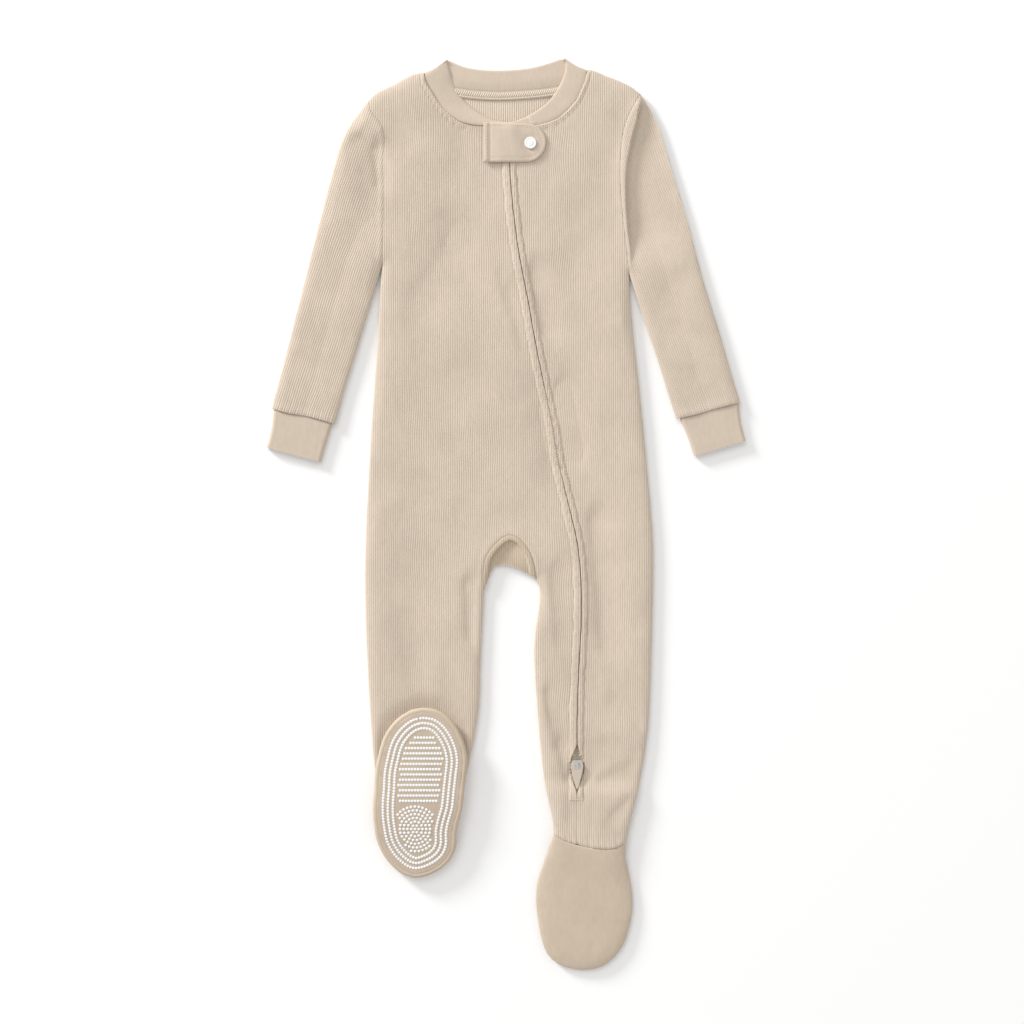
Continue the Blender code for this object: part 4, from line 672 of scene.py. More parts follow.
def knit(name, colour, ribbed, bumpy_ribs=False):
    """Rib knit or plain jersey, from the piece's knit coordinates: wales across, stitches down."""
    made = Nodes(name, colour, 0.92)
    made.sheen(0.05)
    uv = made.add("UVMap")
    parts = made.add("SeparateXYZ", Vector=uv.outputs[0])
    wale, course = parts.outputs[0], parts.outputs[1]
    phase = made.math("FRACT", wale)
    aside = made.math("SUBTRACT", made.math("MULTIPLY", phase, 2.0), 1.0)
    valley = made.math("POWER", made.math("ABSOLUTE", aside), 2.0)
    odd = made.math("MULTIPLY", made.math("FLOOR", wale), 0.5)
    stitch_phase = made.math("MULTIPLY", made.math("ADD", course, odd), 2 * math.pi)
    stitches = made.math("SINE", stitch_phase)
    streaks = made.add("VectorMath")
    streaks.operation = "MULTIPLY"
    made.tree.links.new(made.add("TexCoord").outputs["Object"], streaks.inputs[0])
    streaks.inputs[1].default_value = (1.0, 0.35, 1.0)
    mottle = made.math("ADD", made.noise(38.0, 3.0), made.noise(420.0, 4.0, streaks.outputs[0]))
    fuzz = made.noise(1400.0, 2.0)
    spread = made.math("ADD", made.math("MULTIPLY", mottle, 1.5), -1.0)
    base = made.mix(spread, scaled(colour, 0.94), scaled(colour, 1.06))
    if ribbed:
        # The valleys between ribs are painted darker and warmer, as painted shade; the stitch rows mixed in are
        # the knit's own pattern.
        depth = 0.3 if bumpy_ribs else 0.4
        painted_valley_shade = made.math("ADD", made.math("MULTIPLY", valley, depth), made.math("MULTIPLY", stitches, 0.12))
        base = made.mix(painted_valley_shade, base, (colour[0] * 0.78, colour[1] * 0.75, colour[2] * 0.71, 1.0))
        rows = 0.06 if bumpy_ribs else 0.3
        grain = made.math("ADD", made.math("MULTIPLY", stitches, rows), made.math("MULTIPLY", fuzz, 0.7))
        if bumpy_ribs:
            grain = made.math("SUBTRACT", grain, made.math("MULTIPLY", valley, 1.5))
        made.bump(grain, 0.00018 if not bumpy_ribs else 0.0003, 0.8)
    else:
        wales = made.math("SINE", made.math("MULTIPLY", wale, 2 * math.pi))
        cloth = made.math("MULTIPLY", wales, stitches)
        base = made.mix(made.math("MULTIPLY", made.math("ADD", cloth, 1.0), 0.12), base, scaled(colour, 0.86))
        height = made.math("ADD", made.math("MULTIPLY", cloth, 0.35), made.math("MULTIPLY", fuzz, 0.8))
        made.bump(height, 0.00014, 0.7)
    made.tree.links.new(base, made.shader.inputs["Base Color"])
    return made.material


def plain(name, colour, roughness, metallic=0.0, grain=0.0, grain_scale=900.0, variation=0.05):
    """A simple finish with slight variation and a fine grain."""
    made = Nodes(name, colour, roughness, metallic)
    spread = made.noise(60.0, 4.0)
    base = made.mix(spread, scaled(colour, 1 - variation), scaled(colour, 1 + variation))
    made.tree.links.new(base, made.shader.inputs["Base Color"])
    if grain:
        made.bump(made.noise(grain_scale, 3.0), grain, 0.5)
    return made


RIB = knit("rib_knit", (0.652, 0.553, 0.452), True)
# A darker copy of the rib knit for the turned-up crotch lip: painted shade where the lip falls under the front's
# roll.
RIB_PAINTED_SHADE = knit("rib_knit_painted_shade", (0.585, 0.48, 0.366), True)
# A lighter copy of the rib knit for the back, whose inside shows in the neck and under the band: painted light
# that offsets its shade, with paler painted valley shade too.
RIB_INSIDE_PAINTED_LIGHT = knit("rib_knit_painted_light", (0.705, 0.6, 0.493), True, True)
JERSEY = knit("jersey", (0.628, 0.525, 0.426), False)
FOOT_JERSEY = knit("foot_jersey", (0.60, 0.497, 0.388), False)
SOLE = knit("sole_jersey", (0.572, 0.47, 0.366), False)
THREAD = plain("thread", (0.7, 0.6, 0.475), 0.75, grain=0.00005).material
PALE_THREAD = plain("thread_pale", (0.84, 0.75, 0.62), 0.7, grain=0.00005).material
TAPE = knit("zip_tape", (0.6, 0.5, 0.385), False)
COIL = plain("zip_coil", (0.58, 0.49, 0.4), 0.45).material
STEEL = plain("steel", (0.74, 0.74, 0.76), 0.2, 1.0, 0.00002, 2500.0, 0.08).material
PULL_PAINT = plain("painted_metal", (0.6, 0.51, 0.42), 0.42, 0.0, 0.00006, 1600.0).material
WHITE = plain("white_plastic", (0.9, 0.9, 0.89), 0.3, variation=0.01).material
GRIP = plain("grip_silicone", (0.86, 0.86, 0.86), 0.45, variation=0.02).material


# Body panels

def zip_gap(y):
    """Half the width of the opening round the pull tab."""
    return np.interp(y, [row[0] for row in ZIP_GAP][::-1], [row[1] for row in ZIP_GAP][::-1])


def zip_edge(side):
    """The zip-side edge of one front, slightly wavy, parted round the pull tab."""
    sign = {"right": -1, "left": 1}[side]
    low, high = SEAMS["zip"][-1, 1], SEAMS["zip"][0, 1]
    y = np.linspace(high, low, 150)
    calm = ease((y - ZIP_END) / 30)
    half = zip_gap(y) + calm * (0.3 + 0.16 * ripple(y, {"right": 21, "left": 22}[side], 24.0))
    return np.column_stack([zip_x(y) + sign * half, y])


def cut_at_zip(curve, side):
    """The part of a curve on one side of the zip, ending on the zip line."""
    sign = {"right": -1, "left": 1}[side]
    away = (curve[:, 0] - zip_x(curve[:, 1])) * sign
    kept = curve[away > 0.3]
    at_zip = curve[np.argmin(np.abs(away))]
    end = np.array([zip_x(at_zip[1]), at_zip[1]])
    near_start = np.linalg.norm(kept[0] - end) < np.linalg.norm(kept[-1] - end)
    return np.vstack([end, kept]) if near_start else np.vstack([kept, end])


def front_outline(side):
    neck = SEAMS["neck_" + side]
    ankle = cut_at_zip(SEAMS["ankle_left"], side)
    ankle_y = ankle[-1 if side == "right" else 0, 1]
    zip_line = zip_edge(side)
    zip_line = zip_line[(zip_line[:, 1] < neck[-1, 1]) & (zip_line[:, 1] > ankle_y)]
    if side == "left":
        return join(SEAMS["shoulder_left"], SEAMS["armhole_left"], SEAMS["side_left"],
                    ankle[::-1], zip_line[::-1], neck[::-1])
    return join(SEAMS["shoulder_right"], SEAMS["armhole_right"], SEAMS["side_right"],
                SEAMS["ankle_right"], SEAMS["inseam_right"][::-1], SEAMS["crotch_seam"],
                SEAMS["inseam_left"], ankle, zip_line[::-1], neck[::-1])


def make_front(side):
    outline = inset(front_outline(side))
    rim = closed(outline)

    def top(points):
        away = edge_distance(points)
        detail = welt(points) + crotch_roll(points) + neck_allowance(points) + ankle_gathers(points)
        sewn = rolled(rim, points) * ease((away - 0.2) / 3.0)
        return front_level(points) + detail * ease(away / 4.0) + sewn + ribs(points[:, 0])

    def bottom(points):
        return SIDE_SEAM + GAP / 2 - 1.2 * inner_bend(edge_distance(points)) + lift(points)

    lines = lattice(outline, RIB_COLUMN, ROW_STEP) + rings(outline, 0.4, 0.9, 1.7)
    points, faces = shell(outline, top, bottom, lines, rings(outline, 2.0, 8.0))
    flat, area = {"right": ((0.178, 0.625), 0.0745), "left": ((0.122, 0.63), 0.042)}[side]
    cloth("front_cloth_" + side, sway(points, rim), faces, RIB, "rib_knit", "front_" + side,
          flat, area, ["back_cloth"], uv=knit_uv(points, RIB_KNIT))


def make_back():
    """The back, and its part turned up over the crotch."""
    outline = inset(around(
        "shoulder_right", "armhole_right", "side_right", "ankle_right", "-inseam_right", "crotch_edge",
        "inseam_left", "ankle_left", "-side_left", "-armhole_left", "-shoulder_left", "-neck_back"))
    seam, edge = SEAMS["crotch_seam"], SEAMS["crotch_edge"]

    def inner(points):
        return back_inner(points) + np.where(distance_to(edge[1:-1], points) < 1.0, 0.6, 0.0)

    lines = rings(outline, 0.6, 1.6, 3.2, 6.0, 9.0) + lattice(outline, 0, 12.0)
    panel = shell(outline, inner, back_outer, lines, lines)
    turned = inset(around("crotch_edge", "-crotch_seam"), 0.06)

    def lip_top(points):
        away = distance_to(seam, points)
        roll = 0.75 * quarter(away / 1.8)
        drop = (3.0 - 1.4 * ease((points[:, 0] - 2.0) / 14.0)) * ease((away - 3.4) / 1.8)
        return np.maximum(front_level(points) + roll - drop, 3.5) + ribs(points[:, 0])

    def lip_under(points):
        return np.where(distance_to(edge, points) < 1.0, SIDE_SEAM - 0.3, SIDE_SEAM + 0.2)

    lip_lines = lattice(turned, RIB_COLUMN, 2.5) + rings(turned, 0.5, 1.2, 2.5)
    lip_lines += [beside(seam[1:-1], -d) for d in (3.3, 3.9, 4.5, 5.2)]
    points, faces = together(panel, shell(turned, lip_top, lip_under, lip_lines, rings(turned, 1.0)))
    # The back takes the lighter copy: painted light.
    made = cloth("back_cloth", points, faces, RIB_INSIDE_PAINTED_LIGHT, "rib_knit", "back", (0.235, 0.64), 0.118,
                 ["floor"], uv=knit_uv(points, RIB_KNIT))
    # The lip's faces take the darker copy: painted shade.
    made.data.materials.append(RIB_PAINTED_SHADE)
    for face in made.data.polygons[len(panel[1]):]:
        face.material_index = 1


# Sleeves and cuffs

def tube_sheet(outline, corners, top, under, top_lines, under_lines):
    """A tube pressed flat as one surface: its upper and lower faces joined along two side edges.

    The corners are the four ends of the side edges: first side's ends, then second side's ends.
    """
    points, faces, upper, lower, joined = two_faces(outline, top, under, top_lines, under_lines)

    def chain(plan, rim, start, end):
        count = len(rim)
        at = [min(range(count), key=lambda k: np.linalg.norm(plan[rim[k]] - corner)) for corner in (start, end)]
        one = [rim[k % count] for k in range(at[0], at[0] + (at[1] - at[0]) % count + 1)]
        other = [rim[k % count] for k in range(at[0], at[0] - (at[0] - at[1]) % count - 1, -1)]
        return min(one, other, key=lambda row: travelled(plan[row])[-1])

    for start, end in (corners[:2], corners[2:]):
        faces += joined(chain(*upper, start, end), chain(*lower, start, end))
    return points, faces


def make_sleeve(side):
    outer, inner = SEAMS["outer_" + side], SEAMS["inner_" + side]
    armhole, hem = SEAMS["armhole_" + side], SEAMS["cuff_" + side]
    outline = inset(join(outer, hem, inner[::-1], armhole[::-1]))
    axis = along(hem, 0.5) - along(armhole, 0.45)
    turn = -math.atan2(-axis[0], -axis[1])

    def top(points):
        across = (points @ turned_by(turn))[:, 0]
        away = edge_distance(points)
        roll = rolled(armhole, points) * ease((away - 0.2) / 3.0)
        near_hem = distance_to(hem, points)
        bulge = 0.3 * hump((near_hem - 2.8) / 2.0) + rolled(hem, points, 0.5, 1.4) * ease(away / 3.0)
        gathers = 0.12 * ripple(across, 41, 5.0) * hump(near_hem / 9.0)
        ridge = 0.3 * hump((distance_to(armhole, points) - 2.4) / 1.8)
        return front_level(points) + roll + (bulge + gathers + ridge) * ease(away / 4.0) + ribs(across)

    lines = lattice(outline, RIB_COLUMN, ROW_STEP, turn) + rings(outline, 0.3, 0.8, 1.7, 3.4)
    if side == "left":
        lines += [SLEEVE_TUCK[4:-1] + (d, 0) for d in (-0.4, 0.3, 0.9, 1.5, 2.1, 3.4)]
    points, faces = tube_sheet(outline, (outer[0], outer[-1], inner[0], inner[-1]), top, back_outer,
                               lines, rings(outline, 0.6, 2.0, 4.5, 9.0))
    cloth("sleeve_cloth_" + side, sway(points, closed(outline)), faces, RIB, "rib_knit", "sleeve_" + side,
          (0.165, 0.262), 0.0275, ["floor"], uv=knit_uv(points[:, :2] @ turned_by(turn), RIB_KNIT))


def make_cuff(side):
    """The doubled cuff: outside, hem fold and inside as one surface."""
    outer, inner = SEAMS["cuff_outer_" + side], SEAMS["cuff_inner_" + side]
    seam = SEAMS["cuff_" + side]
    half = 2.5
    stations = (0.03, 0.1, 0.3, 0.5, 0.7, 0.88, 0.95, 0.985, 1.0)
    spread = (1 - np.cos(np.linspace(0, math.pi, 41))) / 2
    upwards = (outer[0] + inner[0]) / 2 - (outer[-1] + inner[-1]) / 2
    upwards /= np.linalg.norm(upwards)

    def ring_at(t, depth, tuck_in, shift=0.0):
        a, b = along(outer, t) + upwards * shift, along(inner, t) + upwards * shift
        width = np.linalg.norm(b - a)
        over, below = [], []
        for share in spread:
            across = (0.5 - share) * (width - 2 * tuck_in)
            bow = along(seam, share) - (seam[0] + (seam[-1] - seam[0]) * share)
            at = (a + b) / 2 + (a - b) / width * across + bow * (1 - t)**2
            level = (half - 0.2 - depth) * quarter(min(share, 1 - share) * width / 2.6)
            wave = 0.05 * ripple(share * width, 51 + len(side), 9.0) * (depth == 0)
            over.append((*at, half + 0.2 + level + wave))
            below.append((*at, half - 0.2 - level))
        return over + below[-2:0:-1]

    rows = [ring_at(0.0, 0.5, 0.6, 1.2), ring_at(0.0, 0.15, 0.2, 0.3)]
    rows += [ring_at(t, 0.0, 0.0) for t in stations]
    rows += [ring_at(0.995, 0.9, 0.7), ring_at(0.97, 1.3, 1.3)]
    rows += [ring_at(t, 1.3, 1.6) for t in (0.8, 0.5, 0.2, 0.0)]
    points = np.array([point for row in rows for point in row])
    cloth("cuff_cloth_" + side, points, ring_faces(len(rows), len(rows[0])), JERSEY, "jersey",
          "cuff_" + side, (0.098, 0.066), 0.0064, ["floor"], calm=60)


# Neck

def make_neckband():
    """The doubled band: two front halves that meet at the zip, folded over at the shoulders."""
    half = BAND_CLOTH / 2
    front = front_level(np.array([(-50.0, 318.0)]))[0] - half + 0.2
    back = half + 0.15
    radius, axis_level = (front - back) / 2, (front + back) / 2

    def half_band(side, sign):
        seam, free = SEAMS["neck_" + side][::-1], SEAMS["free_" + side][::-1]
        shifts = [(sign * GAP * (t == 0), 0) for t in np.linspace(0, 0.96, 40)]
        return [(along(seam, t) + shift, along(free, t) + shift, front, math.pi / 2)
                for t, shift in zip(np.linspace(0, 0.96, 40), shifts)]

    def fold(seam_point, free_point, flip):
        angles = np.linspace(math.pi * 0.42, -math.pi * 0.42, 9)[::flip]
        return [(np.array(seam_point), np.array(free_point), axis_level, angle) for angle in angles]

    seam_back, free_back = SEAMS["neck_back"], SEAMS["free_back"]
    back_part = [(along(seam_back, t), along(free_back, t), back, -math.pi / 2)
                 for t in np.linspace(0.035, 0.965, 40)]
    sections = (half_band("right", -1) + fold(seam_back[0], free_back[0], 1) + back_part
                + fold(seam_back[-1], free_back[-1], -1) + half_band("left", 1)[::-1])
    rows = []
    for at_seam, at_free, level, angle in sections:
        width = at_free - at_seam
        reach = np.linalg.norm(width)
        width = width / reach
        out = np.array([width[1], -width[0]])
        if np.dot(out, at_seam - (0.0, 335.0)) < 0:
            out = -out
        facing = np.array([out[0] * math.cos(angle), out[1] * math.cos(angle), math.sin(angle)])
        turning = abs(angle) < math.pi / 2 - 0.01
        if turning:
            at_seam = at_seam - width * 0.25
            reach += 0.25
            middle = np.array([*(at_seam - out * (radius + half)), level]) + facing * radius
        else:
            middle = np.array([*at_seam, level])
        profile = [(0.04, -half * 0.7), (0.04, half * 0.88), (0.5, half), (1.2, half + 0.12),
                   (2.4, half + 0.22), (reach * 0.3, half + 0.18), (reach * 0.5, half + 0.15),
                   (reach * 0.75, half + 0.12), (reach - 2.0, half + 0.08), (reach - 0.7, half * 0.94),
                   (reach - 0.2, half * 0.6), (reach, 0.0), (reach - 0.2, -half * 0.6),
                   (reach - 0.7, -half * 0.94), (reach - 2.0, -half), (reach * 0.5, -half), (1.0, -half)]
        dent = 1.5 * math.cos(angle) if turning else 0.0
        aside = -at_seam[0]
        tilt = 0.3 + 2.1 * np.clip(aside / 40, 0, 1) * (1 - 0.6 * ease((aside - 54) / 9))
        tilt = tilt * (math.sin(angle) > 0.9)
        for across, up in profile:
            up = (up - tilt * (across / reach)**1.5
                  - dent * 4 * (across / reach) * (1 - across / reach) * (up > half * 0.5))
            rows.append(middle + np.array([*width, 0.0]) * across + facing * up)
    count = len(profile)
    points = np.array(rows)
    faces = caps(len(sections), count) + ring_faces(len(sections), count)
    at = np.repeat(np.arange(len(sections)) * 2.6, count)
    across = np.tile([row[0] for row in profile], len(sections))
    cloth("neckband_cloth", points, faces, JERSEY, "jersey", "neckband", (0.036, 0.31), 0.0062,
          ["front_cloth_right", "front_cloth_left", "back_cloth"],
          uv=knit_uv(np.column_stack([at, across])), calm=60)


def make_neck_tape():
    """The tape over the back neck seam. Returns its two rows of stitches."""
    seam = SEAMS["neck_back"]
    top = np.array([point for point in seam if -47 < point[0] < 48]) - (0.0, 0.06)
    bottom = top - (0.0, 7.1)
    outline = join(top[::-1], bottom)
    level = CLOTH + 0.35

    def upper(points):
        return level + 0.8 + rolled(bottom, points, 0.3, 0.9)

    points, faces = shell(outline, upper, lambda p: np.full(len(p), level), rings(outline, 0.4, 1.0))
    cloth("neck_tape_cloth", points, faces, JERSEY, "jersey", "neck_tape", (0.097, 0.0105), 0.00075,
          ["back_cloth"])
    centres, _ = evenly(top - (0.0, 2.9), 1.75)
    slanting = np.tile(np.array([0.5, 0.87]), (len(centres), 1))
    wide = thread(centres, slanting, np.full(len(centres), level + 0.95), 4.2, 0.42)
    centres, directions = evenly(top - (0.0, 5.9), 2.3)
    return together(wide, thread(centres, directions, np.full(len(centres), level + 0.85), 1.9, 0.3))


# Sewing

def thread(centres, directions, heights, length, radius):
    """Stitches as short rounded bars: centres and directions in plan, and the height of each."""
    sides = 6
    stations = [(-0.5, 0.25, -0.35), (-0.38, 0.85, -0.05), (0.0, 1.0, 0.12),
                (0.38, 0.85, -0.05), (0.5, 0.25, -0.35)]
    points, faces = [], []
    for centre, direction, height in zip(centres, directions, heights):
        normal = np.array([-direction[1], direction[0]])
        first = len(points)
        for share, fat, drop in stations:
            at = centre + direction * share * length
            for k in range(sides):
                a = 2 * math.pi * k / sides
                side_by = normal * math.cos(a) * radius * fat
                points.append((at[0] + side_by[0], at[1] + side_by[1],
                               height + radius * drop + math.sin(a) * radius * fat))
        faces += ring_faces(len(stations), sides, first) + caps(len(stations), sides, first)
    return np.array(points), faces


def sewn_row(curve, level, pitch=2.8, length=2.2, radius=0.34, sunk=0.0):
    """A row of stitches along a curve, on the cloth whose height the level gives."""
    centres, directions = evenly(curve, pitch)
    return thread(centres, directions, level(centres) - sunk, length, radius)


def make_sewing(*rows_before):
    """Every row of stitches that shows, as one piece."""
    def on_front(points):
        return front_level(points) + welt(points) + neck_allowance(points) + 0.24

    rows = list(rows_before)
    line = SEAMS["zip"]
    line = line[(line[:, 1] < 279.0) & (line[:, 1] > ZIP_END)]
    for side, sign in (("right", -1), ("left", 1)):
        aside = sign * (welt_width(line[:, 1], side) - 0.7)
        moved = line + np.column_stack([aside, np.zeros(len(line))])
        rows.append(sewn_row(moved, on_front, radius=0.24, sunk=0.14))
    box = np.array([(50.8, -229.5), (61.0, -229.5), (61.0, -233.0), (50.8, -233.0), (50.8, -229.5)])
    rows.append(sewn_row(box, on_front, 2.2, 1.7, 0.26, 0.12))
    for side, sign in (("right", 1), ("left", -1)):
        for away in (3.3, 1.2):
            moved = beside(SEAMS["neck_" + side], -sign * away)[2:-2]
            rows.append(sewn_row(moved, on_front, 2.5, 2.0, 0.3, 0.1))
    return rows


def flap_outline():
    left, right, top, bottom = (FLAP[key] for key in ("left", "right", "top", "bottom"))
    radius, middle = (top - bottom) / 2, (top + bottom) / 2
    turn = np.linspace(math.pi / 2, -math.pi / 2, 25)
    end = [(right - radius + radius * math.cos(a),
            middle + (radius - 1.0 * (math.sin(a) > 0)) * math.sin(a)) for a in turn]
    return np.array([(left + 1.2, bottom), (left + 0.3, bottom + 0.3), (left, bottom + 1.2), (left, top - 1.2),
                     (left + 0.3, top - 0.3), (left + 1.2, top), *end])[::-1]


def flap_level(points):
    """Height of what the flap lies on, with the zip's welts raised under it."""
    return 5.25 + 0.5 * hump((points[:, 0] - 2.5) / 8.0)


def flap_top(points):
    away = distance_to(closed(flap_outline()), points)
    x, y = points.T
    groove = -0.8 * hump((x + 13.0) / 0.8)
    sewn = -0.28 * hump((away - 3.0) / 0.7) * (x > -12)
    puff = 0.25 * ripple(x * 0.8 + y * 0.3, 61, 22.0) + 0.5 * ease((x + 12) / 8) * ease((24 - x) / 20)
    round_snap = -0.5 * hump((np.hypot(x - SNAP_AT[0], y - SNAP_AT[1]) - 5.0) / 1.6)
    return (flap_level(points) + 0.75 + 0.85 * quarter(away / 1.8) + groove + sewn
            + (puff + round_snap) * ease(away / 4))


def make_flap():
    """The doubled flap. Returns its rows of stitches."""
    outline = flap_outline()
    lines = lattice(outline, 1.3, 1.3) + rings(outline, 0.25, 0.7, 1.4, 2.2)
    points, faces = shell(outline, flap_top, flap_level, lines, lattice(outline, 6.0, 6.0))
    cloth("flap_cloth", points, faces, JERSEY, "jersey", "zip_flap", (0.052, 0.034), 0.00165,
          ["front_cloth_right", "front_cloth_left"], calm=70)
    path = np.array([point for point in ring(outline, 2.9) if point[0] > -11.5])
    start = int(np.argmax(np.linalg.norm(np.diff(path, axis=0), axis=1))) + 1
    path = np.roll(path, -start, axis=0)
    across = np.array([(-15.6, 310.6), (-15.6, 281.8)])
    return together(sewn_row(path, flap_top, 2.6, 2.0, 0.3), sewn_row(across, flap_top, 2.6, 2.0, 0.28))


def turned_rings(profile, centre, base, sides, up=1):
    """A ring of points round a centre for each (radius, height) pair."""
    angles = [2 * math.pi * k / sides for k in range(sides)]
    return [(centre[0] + radius * math.cos(a), centre[1] + radius * math.sin(a), base + up * height)
            for radius, height in profile for a in angles]


def make_snap():
    base = flap_top(np.array([SNAP_AT]))[0] - 0.15
    profile = [(4.5, 0.0), (4.72, 0.25), (4.75, 0.7), (4.6, 1.05), (4.25, 1.28), (3.85, 1.34), (3.55, 1.22),
               (3.4, 1.08), (3.2, 1.1), (2.6, 1.26), (1.6, 1.4), (0.7, 1.46), (0.2, 1.47)]
    sides = 48
    faces = ring_faces(len(profile), sides) + caps(len(profile), sides)
    points = turned_rings(profile, SNAP_AT, base, sides)
    piece("snap_cap_dome", points, faces, WHITE, "white_plastic", ["snap_cap"], calm=50)


# Zip

def make_zip():
    """The tape and chain under the fronts' edges."""
    line = SEAMS["zip"]
    line = line[(line[:, 1] < 300.0) & (line[:, 1] > ZIP_END)]
    outline = join(line - (9.5, 0), (line + (9.5, 0))[::-1])

    def top(points):
        level = SIDE_SEAM + FRONT_RISE - 2.0 - SAG + lift(points) - 0.5
        x, y = points.T
        middle = np.abs(x - zip_x(y))
        opening = ease((y + 232) / 5) * ease((-180 - y) / 5)
        opening = opening * (1 - ease((middle - zip_gap(y) - 0.5) / 0.9))
        beside_slider = (y < -195) & (y > -210)
        raised = np.where(beside_slider, ease((middle - 4.9) / 0.5), ease((middle - 1.0) / 1.6))
        return level - 0.25 * (middle < 0.4) + 1.9 * opening * raised

    sideways = [sign * d for sign in (-1, 1) for d in (7.0, 5.6, 4.8, 3.2, 2.2, 1.0, 0.5)]
    lines = [line + (d, 0) for d in sorted([*sideways, 0.0])]
    lines += [np.array([(40.0, y), (74.0, y)]) for y in np.arange(-234.0, -176.0, 1.5)]
    points, faces = shell(outline, top, lambda p: top(p) - 0.7, lines, [])
    cloth("zip_tape_cloth", points, faces, TAPE, "zip_tape", "zip_tape", (0.026, 0.54), 0.0108,
          ["back_cloth"], uv=knit_uv(points, (0.8, 0.8)))
    chain_line = line[(line[:, 1] < 280.0) & (line[:, 1] > -196.0)]
    parts = []
    for sign, start in ((-1, 0.0), (1, 0.6)):
        centres, directions = evenly(chain_line[int(start > 0):], 1.25)
        centres = centres + directions * start
        across = left_of(directions) * sign
        heights = top(centres + across) + 0.55
        parts.append(thread(centres + across * 0.95, across, heights, 2.4, 0.42))
    piece("zip_chain", *together(*parts), COIL, "zip_tape")


# Feet

def make_left_foot():
    """The left foot's upper and sole. Returns the sole's grip dots."""
    edge, ankle = SEAMS["foot_left"], SEAMS["ankle_left"]
    outline = inset(join(edge, ankle[::-1]))

    def top(points):
        x, y = points.T
        away = distance_to(edge, points)
        far = ease(distance_to(ankle, points) / 30)
        raised = HEEL_LIFT * (1 - far) + EDGE_STEP + (FRONT_RISE - EDGE_STEP) * quarter(away / (9 + 7 * far))
        puff = 0.5 * hump(np.hypot(x - 62, y + 314) / 30)
        wave = 0.12 * ripple(x + 0.4 * y, 71, 30.0) * ripple(y, 72, 44.0)
        seam = rolled(ankle, points, 0.9, 1.8) * ease((away - 0.2) / 3.0)
        return SIDE_SEAM + raised + puff + wave * ease(away / 5) + seam

    def under(points):
        bend = inner_bend(distance_to(edge, points))
        return SIDE_SEAM + GAP / 2 + 0.9 * bend + HEEL_LIFT * (1 - ease(distance_to(ankle, points) / 30)) * 0.9

    lines = lattice(outline, 1.6, 1.6) + rings(outline, 0.4, 1.0, 2.0)
    points, faces = shell(outline, top, under, lines, rings(outline, 2.0, 8.0))
    cloth("foot_cloth_left", points, faces, FOOT_JERSEY, "jersey", "foot_left", (0.082, 0.115), 0.0075,
          ["sole_cloth_left"])

    toe, heel = edge[2:-2], SEAMS["heel_left"]
    sole = inset(join(toe, heel))

    def curl(points, offset):
        under_leg = ease((points[:, 1] + 276) / 14)
        return (1 - quarter((distance_to(toe, points) - offset) / (EDGE_ROUND - offset))) * (1 - under_leg)

    lines = rings(sole, 0.6, 1.6, 3.5, 6.0, 9.0) + lattice(sole, 0, 8.0)
    points, faces = shell(
        sole, lambda p: 1.5 + (SIDE_SEAM - GAP / 2 - 1.5) * curl(p, CLOTH),
        lambda p: 0.4 + (SIDE_SEAM - EDGE_STEP - 0.4) * curl(p, 0.0), lines, lines)
    cloth("sole_cloth_left", points, faces, SOLE, "sole_jersey", "sole_left", (0.082, 0.142), 0.0092,
          ["floor"])
    dots = grip_dots(sole, True)
    return dome_dots(dots, np.full(len(dots), 0.42), -1)


def foot_top(points):
    """Height of the folded foot's sole."""
    return FOOT_HEEL_TOP + (FOOT_TOE_TOP - FOOT_HEEL_TOP) * ease((points[:, 1] + 288) / 60)


def make_right_foot():
    """The folded foot's upper and sole. Returns the sole's grip dots."""
    edge = around("foot_right")
    rim = closed(edge)

    def rest(points):
        return (SIDE_SEAM + FRONT_RISE + 0.6) * (1 - ease((-259.0 - points[:, 1]) / 11.0))

    def middle(points):
        return (rest(points) + foot_top(points)) / 2

    def under(points):
        bend = quarter(distance_to(rim, points) / 6.0)
        return rest(points) * bend + (middle(points) - 0.2) * (1 - bend)

    def over(points):
        away = distance_to(rim, points)
        strip = middle(points) + 0.2 + (foot_top(points) - 0.3 - middle(points)) * quarter(away / 2.2)
        groove = -0.25 * hump((away - FOOT_STRIP - 0.2) / 0.4)
        wave = 0.15 * ripple(points[:, 1] + points[:, 0], 81, 18.0)
        return np.where(away > FOOT_STRIP + 1.0, foot_top(points) - 1.9, strip + groove + wave)

    upper_rings = rings(edge, 0.2, 0.5, 1.0, 1.7, 2.5, 3.1, 3.6, 4.3, 4.5)
    lower_rings = rings(edge, 0.3, 1.0, 2.2, 4.0, 6.0)
    rows = lattice(edge, 0, 4.0)
    points, faces = shell(edge, over, under, upper_rings + rows, lower_rings + rows)
    cloth("foot_cloth_right", points, faces, FOOT_JERSEY, "jersey", "foot_right", (0.13, 0.15), 0.0105,
          ["front_cloth_right", "floor"], held="folded", calm=70)

    sole = inset(edge, FOOT_STRIP + 0.25)
    sole_rim = closed(sole)

    def sole_top(points):
        away = distance_to(sole_rim, points)
        return foot_top(points) - 0.28 + 0.28 * quarter(away / 1.4) - 0.12 * (1 - ease(away / 12))

    lines = rings(sole, 0.25, 0.7, 1.4, 2.3) + lattice(sole, 3.0, 3.0)
    points, faces = shell(sole, sole_top, lambda p: foot_top(p) - 1.6, lines, lattice(sole, 0, 12.0))
    cloth("sole_cloth_right", points, faces, SOLE, "sole_jersey", "sole_right", (0.07, 0.131), 0.0074,
          ["foot_cloth_right"], calm=70)
    dots = grip_dots(sole, False)
    return dome_dots(dots, sole_top(dots) - 0.05, 1)


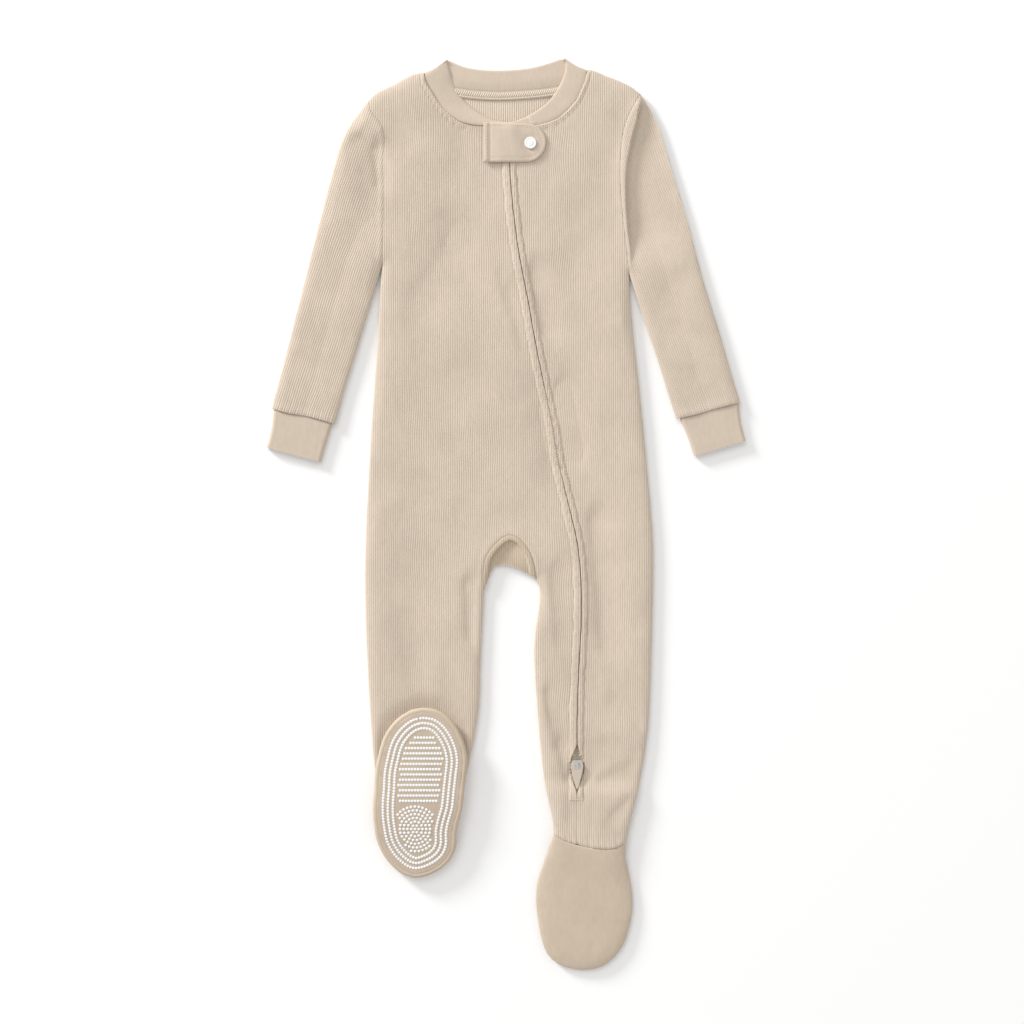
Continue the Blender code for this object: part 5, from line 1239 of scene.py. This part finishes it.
def grip_dots(sole, toe_down):
    """Centres of a sole's grip dots: rings beside its edge, and rows and rings inside."""
    dots = []
    for distance in (4.6, 8.6, 12.6):
        centres, _ = evenly(closed(smooth(closed(inset(sole, distance)), 3.0)[:-1]), 2.35)
        dots.append(centres)
    core = inset(sole, 16.0)
    low, high = core[:, 1].min(), core[:, 1].max()
    toe = -1 if toe_down else 1
    split = (low + high) / 2 - toe * 6.0
    for k in range(40):
        y = split + toe * k * 4.2
        row = np.array([(x, y) for x in np.arange(core[:, 0].min() + 1.2 * (k % 2), core[:, 0].max(), 2.4)])
        if low < y < high:
            dots.append(row[inside_of(core, row)])
    heel_end = low if toe > 0 else high
    heel_points = core[(core[:, 1] - split) * toe < -4]
    middle = np.array([heel_points[:, 0].mean(), (split - toe * 2.4 + heel_end) / 2])
    for k in range(7):
        count = max(1, 6 * k)
        angle = 2 * math.pi * np.arange(count) / count
        circle = middle + 3.0 * k * np.column_stack([np.cos(angle), np.sin(angle)])
        beyond = (circle[:, 1] - split) * toe < -2.2
        dots.append(circle[inside_of(core, circle) & beyond])
    return np.vstack(dots)


def dome_dots(centres, heights, up):
    """Small domes on a sole."""
    sides, profile, summit = 10, ((1.2, 0.0), (1.12, 0.22), (0.8, 0.42)), 0.5
    points, faces = [], []
    for (x, y), z in zip(centres, heights):
        first = len(points)
        points += [*turned_rings(profile, (x, y), z, sides, up), (x, y, z + up * summit)]
        base, last = caps(len(profile), sides, first)
        faces += ring_faces(len(profile), sides, first)
        faces += [(last[k], last[(k + 1) % sides], len(points) - 1) for k in range(sides)] + [base]
    return np.array(points), faces


# Surroundings

def add_light(light, azimuth, elevation, away=0.0):
    """Place a light so that it shines on the middle from an azimuth and an elevation."""
    made = add_object(light.name, light)
    a, e = math.radians(azimuth), math.radians(elevation)
    towards = Vector((math.cos(a) * math.cos(e), math.sin(a) * math.cos(e), math.sin(e)))
    made.location = towards * away
    made.rotation_euler = towards.to_track_quat("Z", "Y").to_euler()
    return made


def make_stage():
    mesh = bpy.data.meshes.new("floor")
    mesh.from_pydata([(-3, -3, 0), (3, -3, 0), (3, 3, 0), (-3, 3, 0)], [], [(0, 1, 2, 3)])
    floor = add_object("floor", mesh)
    white = Nodes("floor_white", (0.97, 0.97, 0.97), 0.9)
    white.set(white.shader, **{"Specular IOR Level": 0.0})
    mesh.materials.append(white.material)

    world = bpy.data.worlds.new("studio")
    world.use_nodes = True
    colour, strength = world.node_tree.nodes["Background"].inputs[:2]
    colour.default_value, strength.default_value = (1.0, 0.995, 0.985, 1.0), 0.71
    bpy.context.scene.world = world

    sun = bpy.data.lights.new("top_light", "SUN")
    sun.energy, sun.angle = 0.46, math.radians(30.0)
    add_light(sun, 125.0, 50.0)
    panel = bpy.data.lights.new("low_light", "AREA")
    panel.shape, panel.size, panel.energy = "DISK", 1.12, 2.86 * math.pi * PANEL_AWAY**2
    add_light(panel, 138.0, 16.5, PANEL_AWAY).visible_camera = False

    camera = bpy.data.cameras.new("camera")
    camera.lens, camera.sensor_width, camera.sensor_fit, camera.clip_end = 85.0, 36.0, "HORIZONTAL", 20.0
    eye = add_object("camera", camera)
    distance = VIEW_WIDTH * camera.lens / camera.sensor_width
    x, y = ((at - middle) * MM for at, middle in zip(VIEW_CENTRE, MIDDLE))
    eye.location = (x, y, distance + 0.005)
    bpy.context.scene.camera = eye
    bpy.context.scene.view_settings.view_transform = "Standard"


make_stage()
for side in ("right", "left"):
    make_front(side)
    make_sleeve(side)
    make_cuff(side)
make_back()
make_neckband()
tape_rows = make_neck_tape()
flap_rows = make_flap()
make_snap()
make_zip()
under_dots = make_left_foot()
sole_dots = make_right_foot()
piece("sewing", *together(*make_sewing(flap_rows)), THREAD, "jersey", calm=60)
piece("tape_sewing", *tape_rows, PALE_THREAD, "jersey", calm=60)
piece("grip_dots", *together(sole_dots, under_dots), GRIP, "white_plastic", calm=60)
for node, kind in (("zip_slider", STEEL), ("zip_pull", PULL_PAINT)):
    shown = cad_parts[node]
    for place in shown.material_slots:
        place.material = kind
